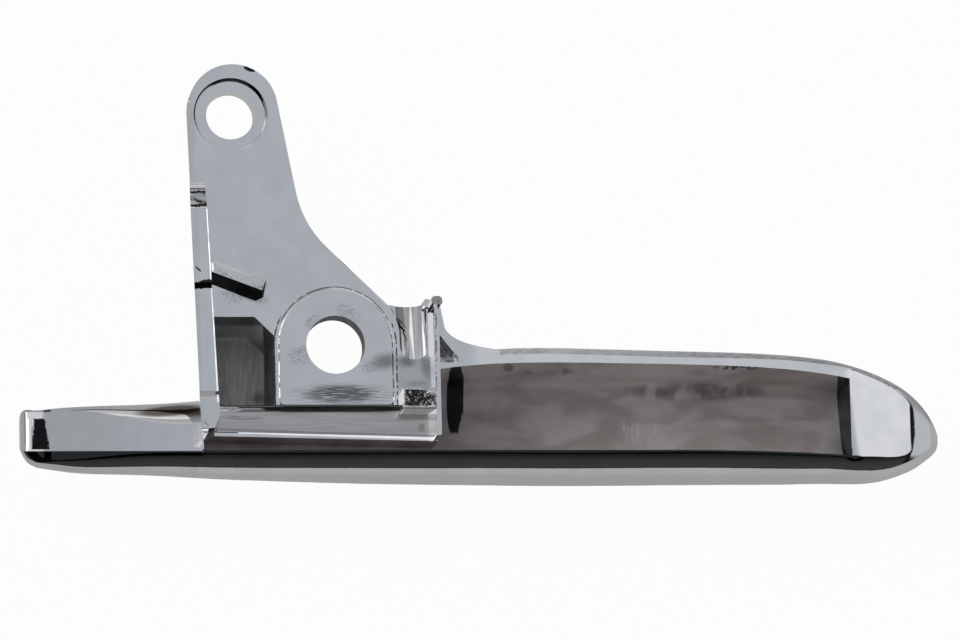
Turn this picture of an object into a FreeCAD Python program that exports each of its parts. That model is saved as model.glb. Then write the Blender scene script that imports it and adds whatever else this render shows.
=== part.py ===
import FreeCAD, Part
import math
import os
from collections import namedtuple

# Lever of a car's inner door handle: grip, wing and cranked arm moulded in one piece and
# chrome plated. Millimetres. X runs along the grip to its rounded end, Y towards the arm
# and Z towards the mounting side, away from the show side. The origin is the pivot axis
# at the face of the pivot pad.

# Pivot pad
PIVOT_RADIUS = 4.5
PAD_RADIUS = 8.85
PAD_RISE = 0.4
PAD_CORNER = 0.9
PAD_RIM_ROUND = 0.24

# Arm plate
PLATE_THICKNESS = 3.5
PLATE_FRONT = 9.5
PLATE_LEFT_FRONT = -20.35
ARM_END_RADIUS = 6.85
ARM_ELBOW_X = -4.57
ARM_ELBOW_Y = 18.8
ARM_ELBOW_RADIUS = 16.0
SHOULDER_RADIUS = 10.35
SHOULDER_ANGLE = 37.0
PLATE_EDGE_ROUND = 0.25

# Link hole at the arm's end
LINK_X = -15.28
LINK_Y = 35.88
LINK_RADIUS = 3.69
LINK_SINK_RADIUS = 5.7
LINK_SINK_DEPTH = 0.95
LINK_SINK_TAPER = 0.35
ARM_END_SHIFT_X = 0.41
ARM_END_SHIFT_Y = 1.07

# Left flange, a raised wall along the arm's left edge
FLANGE_WALL = 1.65
FLANGE_TAPER = 0.0075
FLANGE_LEAN = 7.0
FLANGE_INNER_LEAN = 4.9
FLANGE_HEIGHT = 4.7
FLANGE_TOP_Y = 25.3
FLANGE_LEDGE_HEIGHT = 1.9
FLANGE_LEDGE = 0.3
FLANGE_STEP = 0.6
FLANGE_STEP_Y = 8.7
FLANGE_RISE_Y = -7.9
FLANGE_FOOT_Y = -14.3
FLANGE_FOOT_NARROWING = 0.75
FLANGE_FOOT_LENGTH = 2.6
FLANGE_NICK_LENGTH = 1.5
FLANGE_NICK_WIDTH = 0.3
FLANGE_NICK_DEPTH = 0.3

# Gusset rib between the left flange and the plate
RIB_LENGTH = 10.25
RIB_WIDTH = 1.8
RIB_HEIGHT = 4.3
RIB_ANGLE = -20.8
RIB_ROOT_Y = 11.9
RIB_BEVEL = 0.5
RIB_END_SLOPE = 0.7

# Window pocket between the left flange and the pad
WINDOW_RIGHT = -9.3
WINDOW_REAR = 4.4
WINDOW_FRONT = -9.3
WINDOW_CORNER = 3.0
WINDOW_DEPTH = 12.6
WINDOW_DRAFT = 6.0
WINDOW_FLOOR_TILT = 6.0
WINDOW_MOUTH_DEPTH = 0.6
BOX_WALL = 1.6
BOX_DRAFT = 7.5

# Right flange, trough and rough block beside the pad
RIGHT_FLANGE_X = 15.65
RIGHT_FLANGE_WALL = 0.75
RIGHT_FLANGE_HEIGHT = 3.0
RIGHT_FLANGE_REAR = 6.4
RIGHT_FLANGE_BEND_Y = 2.5
RIGHT_FLANGE_BEND = 0.3
CAP_X = 15.35
CAP_WIDTH = 1.7
CAP_LENGTH = 1.3
CAP_LOBE_HEIGHT = 0.6
PLATE_RIGHT_REAR = 7.0
TROUGH_X = 11.95
TROUGH_HALF_WIDTH = 2.1
TROUGH_END_Y = -2.2
TROUGH_TILT = 19.0
TROUGH_FLOOR_RADIUS = 3.3
TROUGH_FLOOR_RISE = 0.2
TROUGH_FLARE = 0.42
TROUGH_STRAIGHT = 5.0
SIDE_GROOVE_WIDTH = 0.6
SIDE_GROOVE_DEPTH = 1.6
TROUGH_BODY_DEPTH = 6.2
BLOCK_LEFT = 9.8
BLOCK_REAR = -7.1
BLOCK_FRONT = -10.3
BLOCK_HEIGHT = 2.9
BLOCK_ROUND = 0.25

# Channel, lip and slot in front of the plate
DECK_DROP = 2.0
CHANNEL_SINK = 0.2
LIP_WIDTH = 0.65
SLOT_LEFT = -20.2
SLOT_WIDTH_LEFT = 2.6
SLOT_WIDTH_RIGHT = 1.7
SLOT_DEPTH = 6.0
PIN_MARK_X = 13.15
PIN_MARK_Y = -12.4
PIN_MARK_RADIUS = 0.65
PIN_MARK_DEPTH = 0.15

# Hull: the wing on the left, the grip on the right
WING_ROOT = -20.5
WING_LENGTH = 27.6
GRIP_ROOT = 16.5
GRIP_LENGTH = 76.9
FRONT_REACH = 19.4
KEEL_DEPTH = 18.0
RIM_RISE = 1.0
RIM_SWEEP = 4.0
RIM_WIDTH = 1.6
WING_END_ROUND = 0.9
RAMP_LENGTH = 9.1
RAMP_RISE = 1.0
NOSE_LENGTH = 13.9
CREASE_ROUND = 0.6
RECESS_FRONT = -6.5

# Pocket of the grip
GRIP_WALL = 2.2
GRIP_FLOOR = 2.2
POCKET_FRONT_INSET = 0.35
POCKET_FRONT_WALL = 0.6
POCKET_CORNER = 2.0
POCKET_DRAFT = 2.0

# Neck, the hollow gusset between the right flange and the grip
NECK_REACH = 9.0
NECK_HEIGHT = 3.4
NECK_TOP_WALL = 0.85
NECK_FOOT_WALL = 1.4
NECK_SWEEP = 2.05
NECK_DEPTH = 10.0
NECK_CAVITY_LENGTH = 5.1
NECK_CAVITY_WIDTH = 4.3

PLATE_TOP = -PAD_RISE
PLATE_BOTTOM = PLATE_TOP - PLATE_THICKNESS
DECK = PLATE_TOP - DECK_DROP
FLANGE_TOP = PLATE_TOP + FLANGE_HEIGHT
QUARTER_HANDLE = 0.5523
MARGIN = 5.0

Station = namedtuple("Station", "x rear_top rear rear_drop front front_top front_drop keel top")


def vec(x, y, z):
    """Point of the model."""
    return FreeCAD.Vector(x, y, z)


def in_plan(z):
    """Places outline points on the level z, as seen from the mounting side."""
    return lambda a, b: vec(a, b, z)


def in_side(x):
    """Places outline points (y, z) on the plane at x."""
    return lambda a, b: vec(x, a, b)


def in_front(y):
    """Places outline points (x, z) on the plane at y."""
    return lambda a, b: vec(a, y, b)


def rounded_wire(corners, place):
    """Closed wire through corners (a, b, radius), each radius limited by its two sides."""
    points = [place(c[0], c[1]) for c in corners]
    starts = []
    ends = []
    middles = []
    for i, here in enumerate(points):
        before = points[i - 1]
        after = points[(i + 1) % len(points)]
        back = before - here
        ahead = after - here
        half = back.getAngle(ahead) / 2
        room = 0.49 * min(back.Length, ahead.Length)
        radius = corners[i][2] if len(corners[i]) > 2 else 0.0
        cut = min(radius / math.tan(half), room)
        back.normalize()
        ahead.normalize()
        start = here + back * cut
        end = here + ahead * cut
        bisector = back + ahead
        if cut < 1e-6 or bisector.Length < 1e-6:
            middle = None
        else:
            bisector.normalize()
            real_radius = cut * math.tan(half)
            middle = here + bisector * (real_radius / math.sin(half) - real_radius)
        starts.append(start)
        ends.append(end)
        middles.append(middle)
    edges = []
    for i, start in enumerate(starts):
        if middles[i] is not None:
            edges.append(Part.Arc(start, middles[i], ends[i]).toShape())
        target = starts[(i + 1) % len(starts)]
        if (target - ends[i]).Length > 1e-6:
            edges.append(Part.LineSegment(ends[i], target).toShape())
    return Part.Wire(edges)


def plan_prism(corners, low, high):
    """Upright prism of a plan outline between two levels."""
    face = Part.Face(rounded_wire(corners, in_plan(low)))
    return face.extrude(vec(0, 0, high - low))


def side_prism(corners, left, right):
    """Prism of a (y, z) outline between two x planes."""
    face = Part.Face(rounded_wire(corners, in_side(left)))
    return face.extrude(vec(right - left, 0, 0))


def front_prism(corners, near, far):
    """Prism of an (x, z) outline between two y planes."""
    face = Part.Face(rounded_wire(corners, in_front(near)))
    return face.extrude(vec(0, far - near, 0))


def tapered_prism(corners_low, low, corners_high, high):
    """Straight loft between two plan outlines with the same corners."""
    wires = [
        rounded_wire(corners_low, in_plan(low)),
        rounded_wire(corners_high, in_plan(high)),
    ]
    return Part.makeLoft(wires, True, True)


def quarter(start, corner, end):
    """Cubic edge that follows a quarter ellipse from start to end, bulging to the corner."""
    curve = Part.BezierCurve()
    first = start + (corner - start) * QUARTER_HANDLE
    second = end + (corner - end) * QUARTER_HANDLE
    curve.setPoles([start, first, second, end])
    return curve.toShape()


def straight(start, end):
    """Straight edge."""
    return Part.LineSegment(start, end).toShape()


def wing_x(share):
    """Place along the wing: 0 at its root, 1 at its end."""
    return WING_ROOT - share * WING_LENGTH


def grip_x(share):
    """Place along the grip: 0 at its root, 1 at the tip of the nose."""
    return GRIP_ROOT + share * GRIP_LENGTH


def station(x, rear_top, rear, rear_drop, front_inset, front_top, front_drop, keel, top):
    """Hull section: insets from the front reach, the keel as a share of its depth."""
    front = -FRONT_REACH + front_inset
    return Station(x, rear_top, rear, rear_drop, front, front_top, front_drop,
                   -keel * KEEL_DEPTH, DECK + top)


def wing_end(full, radius):
    """Sections that round the wing's end over the radius, from the last full section."""
    rounded = []
    for angle in (35.0, 65.0, 85.0):
        turn = math.radians(angle)
        inset = radius * (1 - math.cos(turn))
        share = 1 - 2 * inset / (full.top - full.keel)
        rounded.append(full._replace(
            x=full.x - radius * math.sin(turn),
            rear_top=full.rear - inset - share * (full.rear - full.rear_top),
            rear=full.rear - inset,
            rear_drop=share * full.rear_drop,
            front=full.front + inset,
            front_top=share * full.front_top,
            front_drop=share * full.front_drop,
            keel=full.keel + inset,
            top=full.top - inset,
        ))
    return rounded


def hull_stations():
    """Sections of the hull from the wing's end to the tip of the nose."""
    last = station(wing_x(1) + WING_END_ROUND, -10.5, -9.6, 1.1, 2.0, 2.9, 2.2, 0.31, 1.1)
    left = list(reversed(wing_end(last, WING_END_ROUND)))
    wing = [
        last,
        station(wing_x(0.78), -10.9, -9.15, 1.6, 0.85, 3.3, 2.5, 0.35, 0.55),
        station(wing_x(0.45), -11.6, -8.5, 2.6, 0.55, 3.4, 2.8, 0.445, 0.15),
        station(wing_x(0), -12.9, -7.46, 4.6, 0.45, 3.75, 3.1, 0.635, 0.12),
    ]
    middle = [
        station(-8.0, -9.3, -5.7, 3.8, 0.3, 3.9, 3.2, 0.78, 0.12),
        station(4.0, -5.8, -3.4, 2.6, 0.2, 4.0, 3.4, 0.89, 0.12),
    ]
    grip = [
        station(grip_x(0), -2.9, -1.0, 1.7, 0.15, 4.1, 3.5, 0.96, 0.12),
        station(grip_x(0.12), -1.95, 0.0, 1.3, 0.1, 4.1, 3.6, 0.99, 0.12),
        station(grip_x(0.37), -2.1, -0.15, 1.3, 0.05, 4.1, 3.75, 1.0, 0.12),
        station(grip_x(0.57), -2.45, -0.55, 1.3, 0.05, 4.1, 3.7, 0.965, 0.12),
        station(grip_x(0.7), -3.1, -1.1, 1.3, 0.0, 4.2, 3.4, 0.93, 0.2),
        station(grip_x(0.82), -4.6, -2.6, 1.5, -0.12, 4.6, 3.1, 0.87, 0.4),
        station(grip_x(0.88), -6.8, -4.3, 2.1, -0.12, 4.9, 3.0, 0.79, 0.95),
        station(grip_x(0.92), -8.45, -5.9, 2.5, 0.46, 3.1, 2.9, 0.69, 1.1),
        station(grip_x(0.95), -9.9, -7.7, 2.3, 1.23, 2.8, 2.8, 0.59, 0.8),
        station(grip_x(0.975), -11.4, -9.9, 1.8, 2.4, 2.4, 2.1, 0.5, 0.0),
        station(grip_x(0.99), -12.8, -11.7, 1.2, 3.3, 1.5, 1.3, 0.44, -1.1),
        station(grip_x(0.9985), -13.6, -13.1, 0.5, 4.6, 0.6, 0.5, 0.385, -2.4),
    ]
    return left + wing + middle + grip


def hull_section(s):
    """Closed section wire at one station: flat deck and keel with rounded corners between."""
    width = s.rear - s.front
    depth = s.top - s.keel
    belly_front = 0.24 * depth
    belly_rear = 0.34 * depth
    keel_front = s.front + 0.4 * width
    keel_rear = s.rear - 0.3 * width
    a = vec(s.x, s.rear_top, s.top)
    b = vec(s.x, s.front + s.front_top, s.top)
    c = vec(s.x, s.front, s.top - s.front_drop)
    d = vec(s.x, s.front, s.keel + belly_front)
    e = vec(s.x, keel_front, s.keel)
    f = vec(s.x, keel_rear, s.keel)
    g = vec(s.x, s.rear, s.keel + belly_rear)
    h = vec(s.x, s.rear, s.top - s.rear_drop)
    return Part.Wire([
        straight(a, b),
        quarter(b, vec(s.x, s.front, s.top), c),
        straight(c, d),
        quarter(d, vec(s.x, s.front, s.keel), e),
        straight(e, f),
        quarter(f, vec(s.x, s.rear, s.keel), g),
        straight(g, h),
        quarter(h, vec(s.x, s.rear, s.top), a),
    ])


def hull_at(x):
    """Section values at any x, in straight proportion between the two nearest stations."""
    stations = hull_stations()
    for before, after in zip(stations, stations[1:]):
        if before.x <= x <= after.x:
            share = (x - before.x) / (after.x - before.x)
            values = [p + share * (q - p) for p, q in zip(before, after)]
            return Station(*values)
    return stations[0] if x < stations[0].x else stations[-1]


def crest_at(x):
    """Y of the front crest, where the deck meets the front rounding."""
    s = hull_at(x)
    above = min(s.top - DECK, s.front_drop)
    bend = math.sqrt(1 - (1 - above / s.front_drop) ** 2)
    return s.front + s.front_top * (1 - bend)


def deck_cutter():
    """Everything above the deck, which rises at the wing's end and on the nose ramp."""
    end = wing_x(1)
    rim = end + RIM_WIDTH
    sweep_radius = (RIM_SWEEP ** 2 + RIM_RISE ** 2) / (2 * RIM_RISE)
    half_turn = math.asin(RIM_SWEEP / sweep_radius) / 2
    ramp = grip_x(1) - NOSE_LENGTH
    slope = RAMP_RISE / RAMP_LENGTH
    beyond = grip_x(1) + MARGIN
    place = in_front(-FRONT_REACH - MARGIN)
    low = place(rim, DECK + RIM_RISE)
    foot = place(rim + RIM_SWEEP, DECK)
    middle = place(rim + RIM_SWEEP - sweep_radius * math.sin(half_turn),
                   DECK + sweep_radius * (1 - math.cos(half_turn)))
    points = [
        foot,
        place(ramp, DECK),
        place(beyond, DECK + slope * (beyond - ramp)),
        place(beyond, MARGIN),
        place(end - MARGIN, MARGIN),
        place(end - MARGIN, DECK + RIM_RISE),
        low,
    ]
    edges = [straight(p, q) for p, q in zip(points, points[1:])]
    edges.append(Part.Arc(low, middle, foot).toShape())
    face = Part.Face(Part.Wire(edges))
    return face.extrude(vec(0, FRONT_REACH + 2 * MARGIN, 0))


def hull():
    """Wing and grip as one smooth body with a flat deck."""
    wires = [hull_section(s) for s in hull_stations()]
    body = Part.makeLoft(wires, True, False)
    return soften_crease(body.cut(deck_cutter()))


def soften_crease(body):
    """Rounds the crease where the ramp meets the nose."""
    ramp = grip_x(1) - NOSE_LENGTH
    across = [e for e in body.Edges if e.BoundBox.XLength < 1 and e.BoundBox.YLength > 4]
    crease = [e for e in across if e.BoundBox.XMin > ramp + 1]
    return body.makeFillet(CREASE_ROUND, crease)


def tangent_point(centre_x, centre_y, radius, x, y, side):
    """Touch point on a circle of the line from (x, y), on its left (-1) or right (1)."""
    dx = x - centre_x
    dy = y - centre_y
    distance = math.hypot(dx, dy)
    angle = math.atan2(dy, dx) + side * math.acos(radius / distance)
    return centre_x + radius * math.cos(angle), centre_y + radius * math.sin(angle)


def shoulder_point():
    """Place where the arm's slanted right edge meets the round shoulder of the pad."""
    angle = math.radians(SHOULDER_ANGLE)
    return SHOULDER_RADIUS * math.cos(angle), SHOULDER_RADIUS * math.sin(angle)


def arm_outline(level):
    """Plan outline of the plate: round arm end, elbow, shoulder and the part by the grip."""
    centre_x = LINK_X + ARM_END_SHIFT_X
    centre_y = LINK_Y + ARM_END_SHIFT_Y
    left = tangent_point(centre_x, centre_y, ARM_END_RADIUS, PLATE_LEFT_FRONT, -PLATE_FRONT, -1)
    right = tangent_point(centre_x, centre_y, ARM_END_RADIUS, ARM_ELBOW_X, ARM_ELBOW_Y, 1)
    shoulder = shoulder_point()
    elbow = rounded_wire(
        [
            (right[0], right[1]),
            (ARM_ELBOW_X, ARM_ELBOW_Y, ARM_ELBOW_RADIUS),
            (shoulder[0], shoulder[1]),
        ],
        in_plan(level),
    )
    sides = elbow.OrderedEdges[:3]
    place = in_plan(level)
    right_x = RIGHT_FLANGE_X - RIGHT_FLANGE_WALL / 2
    points = [
        place(*shoulder),
        place(right_x, PLATE_RIGHT_REAR),
        place(right_x, -PLATE_FRONT),
        place(PLATE_LEFT_FRONT, -PLATE_FRONT),
        place(*left),
    ]
    top = Part.Arc(place(*left), place(centre_x, centre_y + ARM_END_RADIUS), place(*right))
    edges = [straight(p, q) for p, q in zip(points, points[1:])]
    return Part.Wire(Part.__sortEdges__(edges + [top.toShape()] + sides))


def plate():
    """Flat arm plate with its top edge softened."""
    face = Part.Face(arm_outline(PLATE_BOTTOM))
    body = face.extrude(vec(0, 0, PLATE_THICKNESS))
    rim = [e for e in body.Edges if e.BoundBox.ZMin > PLATE_TOP - 0.01]
    return body.makeFillet(PLATE_EDGE_ROUND, rim)


def pad():
    """Raised D-shaped pad round the pivot hole."""
    place = in_plan(PLATE_BOTTOM)
    round_edge = Part.Arc(
        place(PAD_RADIUS, 0), place(0, PAD_RADIUS), place(-PAD_RADIUS, 0)
    ).toShape()
    front = -PLATE_FRONT
    sides = [
        straight(place(-PAD_RADIUS, 0), place(-PAD_RADIUS, front)),
        straight(place(-PAD_RADIUS, front), place(PAD_RADIUS, front)),
        straight(place(PAD_RADIUS, front), place(PAD_RADIUS, 0)),
    ]
    body = Part.Face(Part.Wire([round_edge] + sides)).extrude(vec(0, 0, -PLATE_BOTTOM))
    corners = [e for e in body.Edges if e.BoundBox.ZLength > 1 and e.Vertexes[0].Y < front + 0.1]
    body = body.makeFillet(PAD_CORNER, corners)
    rim = [e for e in body.Edges if e.BoundBox.ZMin > -0.01]
    return body.makeFillet(PAD_RIM_ROUND, rim)


def left_edge_x(y):
    """X of the arm's straight left edge at y."""
    centre_x = LINK_X + ARM_END_SHIFT_X
    centre_y = LINK_Y + ARM_END_SHIFT_Y
    top = tangent_point(centre_x, centre_y, ARM_END_RADIUS, PLATE_LEFT_FRONT, -PLATE_FRONT, -1)
    slope = (top[0] - PLATE_LEFT_FRONT) / (top[1] + PLATE_FRONT)
    return PLATE_LEFT_FRONT + slope * (y + PLATE_FRONT)


def flange_inner_x(y, z):
    """X of the left flange's leaning inner face at y on the level z."""
    lean = math.tan(math.radians(FLANGE_INNER_LEAN)) * (FLANGE_TOP - z)
    return left_edge_x(y) + FLANGE_WALL - FLANGE_TAPER * y + lean


def left_flange():
    """Tall leaning wall on the arm's left edge, with a stepped end and a narrowed foot."""
    foot = FLANGE_FOOT_Y

    def plan(z):
        spread = math.tan(math.radians(FLANGE_LEAN)) * (z - PLATE_BOTTOM)
        inner = flange_inner_x(foot, z)
        return [
            (left_edge_x(FLANGE_TOP_Y) - spread, FLANGE_TOP_Y),
            (left_edge_x(foot) - spread, foot, 0.4),
            (inner - FLANGE_FOOT_NARROWING, foot, 0.4),
            (inner - FLANGE_FOOT_NARROWING, foot + FLANGE_FOOT_LENGTH / 4, 0.8),
            (inner + 0.1, foot + FLANGE_FOOT_LENGTH, 0.5),
            (flange_inner_x(FLANGE_TOP_Y, z), FLANGE_TOP_Y),
        ]

    ledge = PLATE_TOP + FLANGE_LEDGE_HEIGHT
    low = FLANGE_TOP - FLANGE_STEP
    slope = FLANGE_TOP_Y - 0.9 * FLANGE_LEDGE_HEIGHT
    upper = slope - FLANGE_LEDGE - (FLANGE_TOP - ledge)
    side = [
        (FLANGE_TOP_Y, PLATE_BOTTOM),
        (FLANGE_TOP_Y, PLATE_TOP),
        (slope, ledge),
        (slope - FLANGE_LEDGE, ledge),
        (upper, FLANGE_TOP, 0.5),
        (FLANGE_STEP_Y, FLANGE_TOP, 0.3),
        (FLANGE_STEP_Y - FLANGE_STEP, low, 0.3),
        (FLANGE_RISE_Y, low, 0.3),
        (FLANGE_RISE_Y - FLANGE_STEP, FLANGE_TOP, 0.3),
        (foot, FLANGE_TOP, 0.6),
        (foot, PLATE_BOTTOM),
    ]
    wall = tapered_prism(plan(PLATE_BOTTOM), PLATE_BOTTOM, plan(FLANGE_TOP), FLANGE_TOP)
    left = PLATE_LEFT_FRONT - MARGIN
    wall = wall.common(side_prism(side, left, left + 4 * MARGIN))
    return wall.cut(flange_nick())


def flange_nick():
    """Narrow slanted groove across the top of the flange's foot."""
    half = FLANGE_NICK_LENGTH / 2
    wide = FLANGE_NICK_WIDTH / 2
    body = plan_prism(
        [(-half, -wide, 0.1), (half, -wide, 0.1), (half, wide, 0.1), (-half, wide, 0.1)],
        FLANGE_TOP - FLANGE_NICK_DEPTH,
        FLANGE_TOP + 1,
    )
    body.rotate(vec(0, 0, 0), vec(0, 0, 1), -45)
    body.translate(vec(left_edge_x(FLANGE_FOOT_Y) - 0.1, FLANGE_FOOT_Y + 1.05, 0))
    return body


def gusset_rib():
    """Slanted rib that props the left flange, with one bevelled edge and a sloped end."""
    top = PLATE_TOP + RIB_HEIGHT
    end = [
        (0, PLATE_TOP - 1),
        (0, top),
        (RIB_LENGTH - RIB_END_SLOPE, top, 0.2),
        (RIB_LENGTH, PLATE_TOP),
        (RIB_LENGTH, PLATE_TOP - 1),
    ]
    body = front_prism(end, -RIB_WIDTH / 2, RIB_WIDTH / 2)
    bevel = side_prism(
        [
            (RIB_WIDTH / 2 - RIB_BEVEL, top + 0.01),
            (RIB_WIDTH / 2 + 0.01, top - RIB_BEVEL),
            (RIB_WIDTH / 2 + 0.01, top + 0.01),
        ],
        -1,
        RIB_LENGTH + 1,
    )
    body = body.cut(bevel)
    body.rotate(vec(0, 0, 0), vec(0, 0, 1), RIB_ANGLE)
    body.translate(vec(left_edge_x(RIB_ROOT_Y) + FLANGE_WALL / 2, RIB_ROOT_Y, 0))
    return body


def window_box():
    """Deep box under the plate that holds the window pocket, drafted to the show side."""
    bottom = -KEEL_DEPTH
    slant = math.tan(math.radians(BOX_DRAFT))
    shift = slant * (PLATE_BOTTOM - bottom)
    left = left_edge_x(0)
    right = WINDOW_RIGHT + BOX_WALL
    rear = WINDOW_REAR + BOX_WALL
    front = WINDOW_FRONT - BOX_WALL
    high = [(left, rear, 2.0), (left, front, 0.5), (right, front, 0.5), (right, rear, 2.0)]
    low = [
        (left + shift, rear - shift, 2.0),
        (left + shift, front, 0.5),
        (right - shift / 2, front, 0.5),
        (right - shift / 2, rear - shift, 2.0),
    ]
    return tapered_prism(low, bottom, high, PLATE_BOTTOM + 0.5)


def window_pocket():
    """Drafted hole of the window, with one wide corner and a floor that tilts forward."""
    slant = math.tan(math.radians(WINDOW_DRAFT))
    top = FLANGE_TOP + 1
    floor = PLATE_TOP - WINDOW_DEPTH
    down = slant * WINDOW_DEPTH
    left_rear = flange_inner_x(WINDOW_REAR, PLATE_TOP)
    left_front = flange_inner_x(WINDOW_FRONT, PLATE_TOP)

    def corners(spread):
        return [
            (left_rear - spread, WINDOW_REAR + spread, 0.3),
            (left_front - spread, WINDOW_FRONT, 0.3),
            (WINDOW_RIGHT, WINDOW_FRONT, 0.5),
            (WINDOW_RIGHT, WINDOW_REAR - WINDOW_CORNER + spread, 0.6),
            (WINDOW_RIGHT - WINDOW_CORNER, WINDOW_REAR + spread, 0.6),
        ]

    mouth = PLATE_TOP - WINDOW_MOUTH_DEPTH
    upper = plan_prism(corners(0), mouth, top)
    deep = tapered_prism(corners(-down), floor - 2, corners(0), mouth)
    tilt = math.tan(math.radians(WINDOW_FLOOR_TILT))
    fall = tilt * (WINDOW_REAR - WINDOW_FRONT)
    keep = side_prism(
        [
            (WINDOW_REAR + 1, top),
            (WINDOW_REAR + 1, floor + fall),
            (WINDOW_FRONT - 1, floor),
            (WINDOW_FRONT - 1, top),
        ],
        left_rear - 2,
        WINDOW_RIGHT + 2,
    )
    return upper.fuse(deep).common(keep)


def right_block():
    """Thick part of the plate under the trough, between the shoulder and the right flange."""
    left = shoulder_point()[0] + 0.3
    right = RIGHT_FLANGE_X
    return plan_prism(
        [
            (left, RECESS_FRONT - 1),
            (left, PLATE_RIGHT_REAR - 0.5, 0.6),
            (right - 0.2, PLATE_RIGHT_REAR - 0.2),
            (right - 0.2, RECESS_FRONT - 1),
        ],
        PLATE_TOP - TROUGH_BODY_DEPTH,
        PLATE_TOP,
    )


def trough_cutter():
    """U-shaped trough whose hollow floor falls towards the rear, and a narrow side groove."""
    rear = PLATE_RIGHT_REAR + MARGIN
    left = TROUGH_X - TROUGH_HALF_WIDTH
    right = TROUGH_X + TROUGH_HALF_WIDTH
    bend = TROUGH_END_Y + TROUGH_STRAIGHT
    plan = [
        (left - TROUGH_FLARE * (rear - bend), rear),
        (left, bend, TROUGH_STRAIGHT),
        (left + 0.1, TROUGH_END_Y, 2.4),
        (right, TROUGH_END_Y, 1.6),
        (right, rear),
    ]
    length = PLATE_RIGHT_REAR + 3 * MARGIN
    hollow = Part.makeCylinder(TROUGH_FLOOR_RADIUS, length)
    hollow.rotate(vec(0, 0, 0), vec(1, 0, 0), -90 - TROUGH_TILT)
    start = TROUGH_END_Y - 2
    hollow.translate(vec(TROUGH_X, start, PLATE_TOP + TROUGH_FLOOR_RADIUS + TROUGH_FLOOR_RISE))
    trough = plan_prism(plan, PLATE_BOTTOM - MARGIN, PLATE_TOP + 1).common(hollow)
    groove_right = RIGHT_FLANGE_X - RIGHT_FLANGE_WALL
    groove = plan_prism(
        [
            (groove_right - SIDE_GROOVE_WIDTH, TROUGH_END_Y + 0.4, 0.3),
            (groove_right, TROUGH_END_Y + 0.4, 0.3),
            (groove_right, RIGHT_FLANGE_REAR - 0.5),
            (groove_right - SIDE_GROOVE_WIDTH, RIGHT_FLANGE_REAR - 0.5),
        ],
        PLATE_TOP - SIDE_GROOVE_DEPTH,
        PLATE_TOP + 1,
    )
    return trough.fuse(groove)


def lip_front(x):
    """Y of the lip's front edge, which follows the crest at the slot's width."""
    span = RIGHT_FLANGE_X - SLOT_LEFT
    share = (x - SLOT_LEFT) / span
    width = SLOT_WIDTH_LEFT + share * (SLOT_WIDTH_RIGHT - SLOT_WIDTH_LEFT)
    return crest_at(x) + width


def right_flange():
    """Thin raised wall between the trough and the grip, with a rounded cap at its rear end."""
    right = RIGHT_FLANGE_X
    left = right - RIGHT_FLANGE_WALL
    front = lip_front(right)
    rear = RIGHT_FLANGE_REAR
    top = PLATE_TOP + RIGHT_FLANGE_HEIGHT
    wall = plan_prism(
        [
            (left, front, 0.3),
            (right, front, 0.6),
            (right, RIGHT_FLANGE_BEND_Y, 8.0),
            (right - RIGHT_FLANGE_BEND, rear),
            (left, rear),
        ],
        -NECK_DEPTH,
        top,
    )
    return wall.fuse(flange_cap(CAP_X, CAP_WIDTH, top))


def cap_lobe():
    """Low lobe beside the cap, at the rear end of the trough's wall."""
    return flange_cap(CAP_X - CAP_WIDTH * 0.7, CAP_WIDTH * 0.6, PLATE_TOP + CAP_LOBE_HEIGHT)


def flange_cap(x, width, top):
    """Upright rounded lobe at the rear end of the right flange."""
    half = CAP_LENGTH / 2
    rear = RIGHT_FLANGE_REAR
    return plan_prism(
        [
            (x - width / 2, rear - half, 0.35 * width),
            (x + width / 2, rear - half, 0.2 * width),
            (x + width / 2, rear + half, 0.4 * width),
            (x - width / 2, rear + half, 0.4 * width),
        ],
        PLATE_BOTTOM,
        top,
    )


def rough_block():
    """Raised block beside the pad, joined to the right flange."""
    body = plan_prism(
        [
            (BLOCK_LEFT, BLOCK_FRONT, 0.3),
            (RIGHT_FLANGE_X - 0.3, BLOCK_FRONT),
            (RIGHT_FLANGE_X - 0.3, BLOCK_REAR),
            (BLOCK_LEFT, BLOCK_REAR, 0.3),
        ],
        DECK - 1,
        PLATE_TOP + BLOCK_HEIGHT,
    )
    rim = [e for e in body.Edges if e.BoundBox.ZMin > PLATE_TOP + BLOCK_HEIGHT - 0.01]
    return body.makeFillet(BLOCK_ROUND, rim)


def neck():
    """Gusset wall between the right flange and the grip, hollowed in plan on its outside."""
    left = RIGHT_FLANGE_X - RIGHT_FLANGE_WALL
    rear = hull_at(GRIP_ROOT + NECK_REACH).rear
    inside = rear - NECK_HEIGHT
    place = in_plan(-NECK_DEPTH)
    start = place(RIGHT_FLANGE_X + NECK_TOP_WALL, RIGHT_FLANGE_REAR)
    turn = place(RIGHT_FLANGE_X + NECK_FOOT_WALL, rear + NECK_HEIGHT)
    bottom = place(GRIP_ROOT + NECK_REACH, rear - 0.3)
    curve = Part.BezierCurve()
    curve.setPoles([turn, place(RIGHT_FLANGE_X + NECK_SWEEP, rear + 0.6), bottom])
    points = [bottom, place(GRIP_ROOT + NECK_REACH, inside), place(left, inside),
              place(left, RIGHT_FLANGE_REAR), start, turn]
    edges = [straight(p, q) for p, q in zip(points, points[1:])]
    face = Part.Face(Part.Wire(edges + [curve.toShape()]))
    return face.extrude(vec(0, 0, DECK + NECK_DEPTH))


def neck_cavity():
    """Three-cornered hollow inside the neck."""
    left = RIGHT_FLANGE_X
    front = hull_at(GRIP_ROOT).rear - 1.3
    return plan_prism(
        [
            (left, front + NECK_CAVITY_LENGTH, 0.3),
            (left, front, 0.2),
            (left + NECK_CAVITY_WIDTH, front, 0.2),
            (left + 0.6 * NECK_CAVITY_WIDTH, front + 0.35 * NECK_CAVITY_LENGTH, 6.0),
        ],
        1 - NECK_DEPTH,
        MARGIN,
    )


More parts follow.
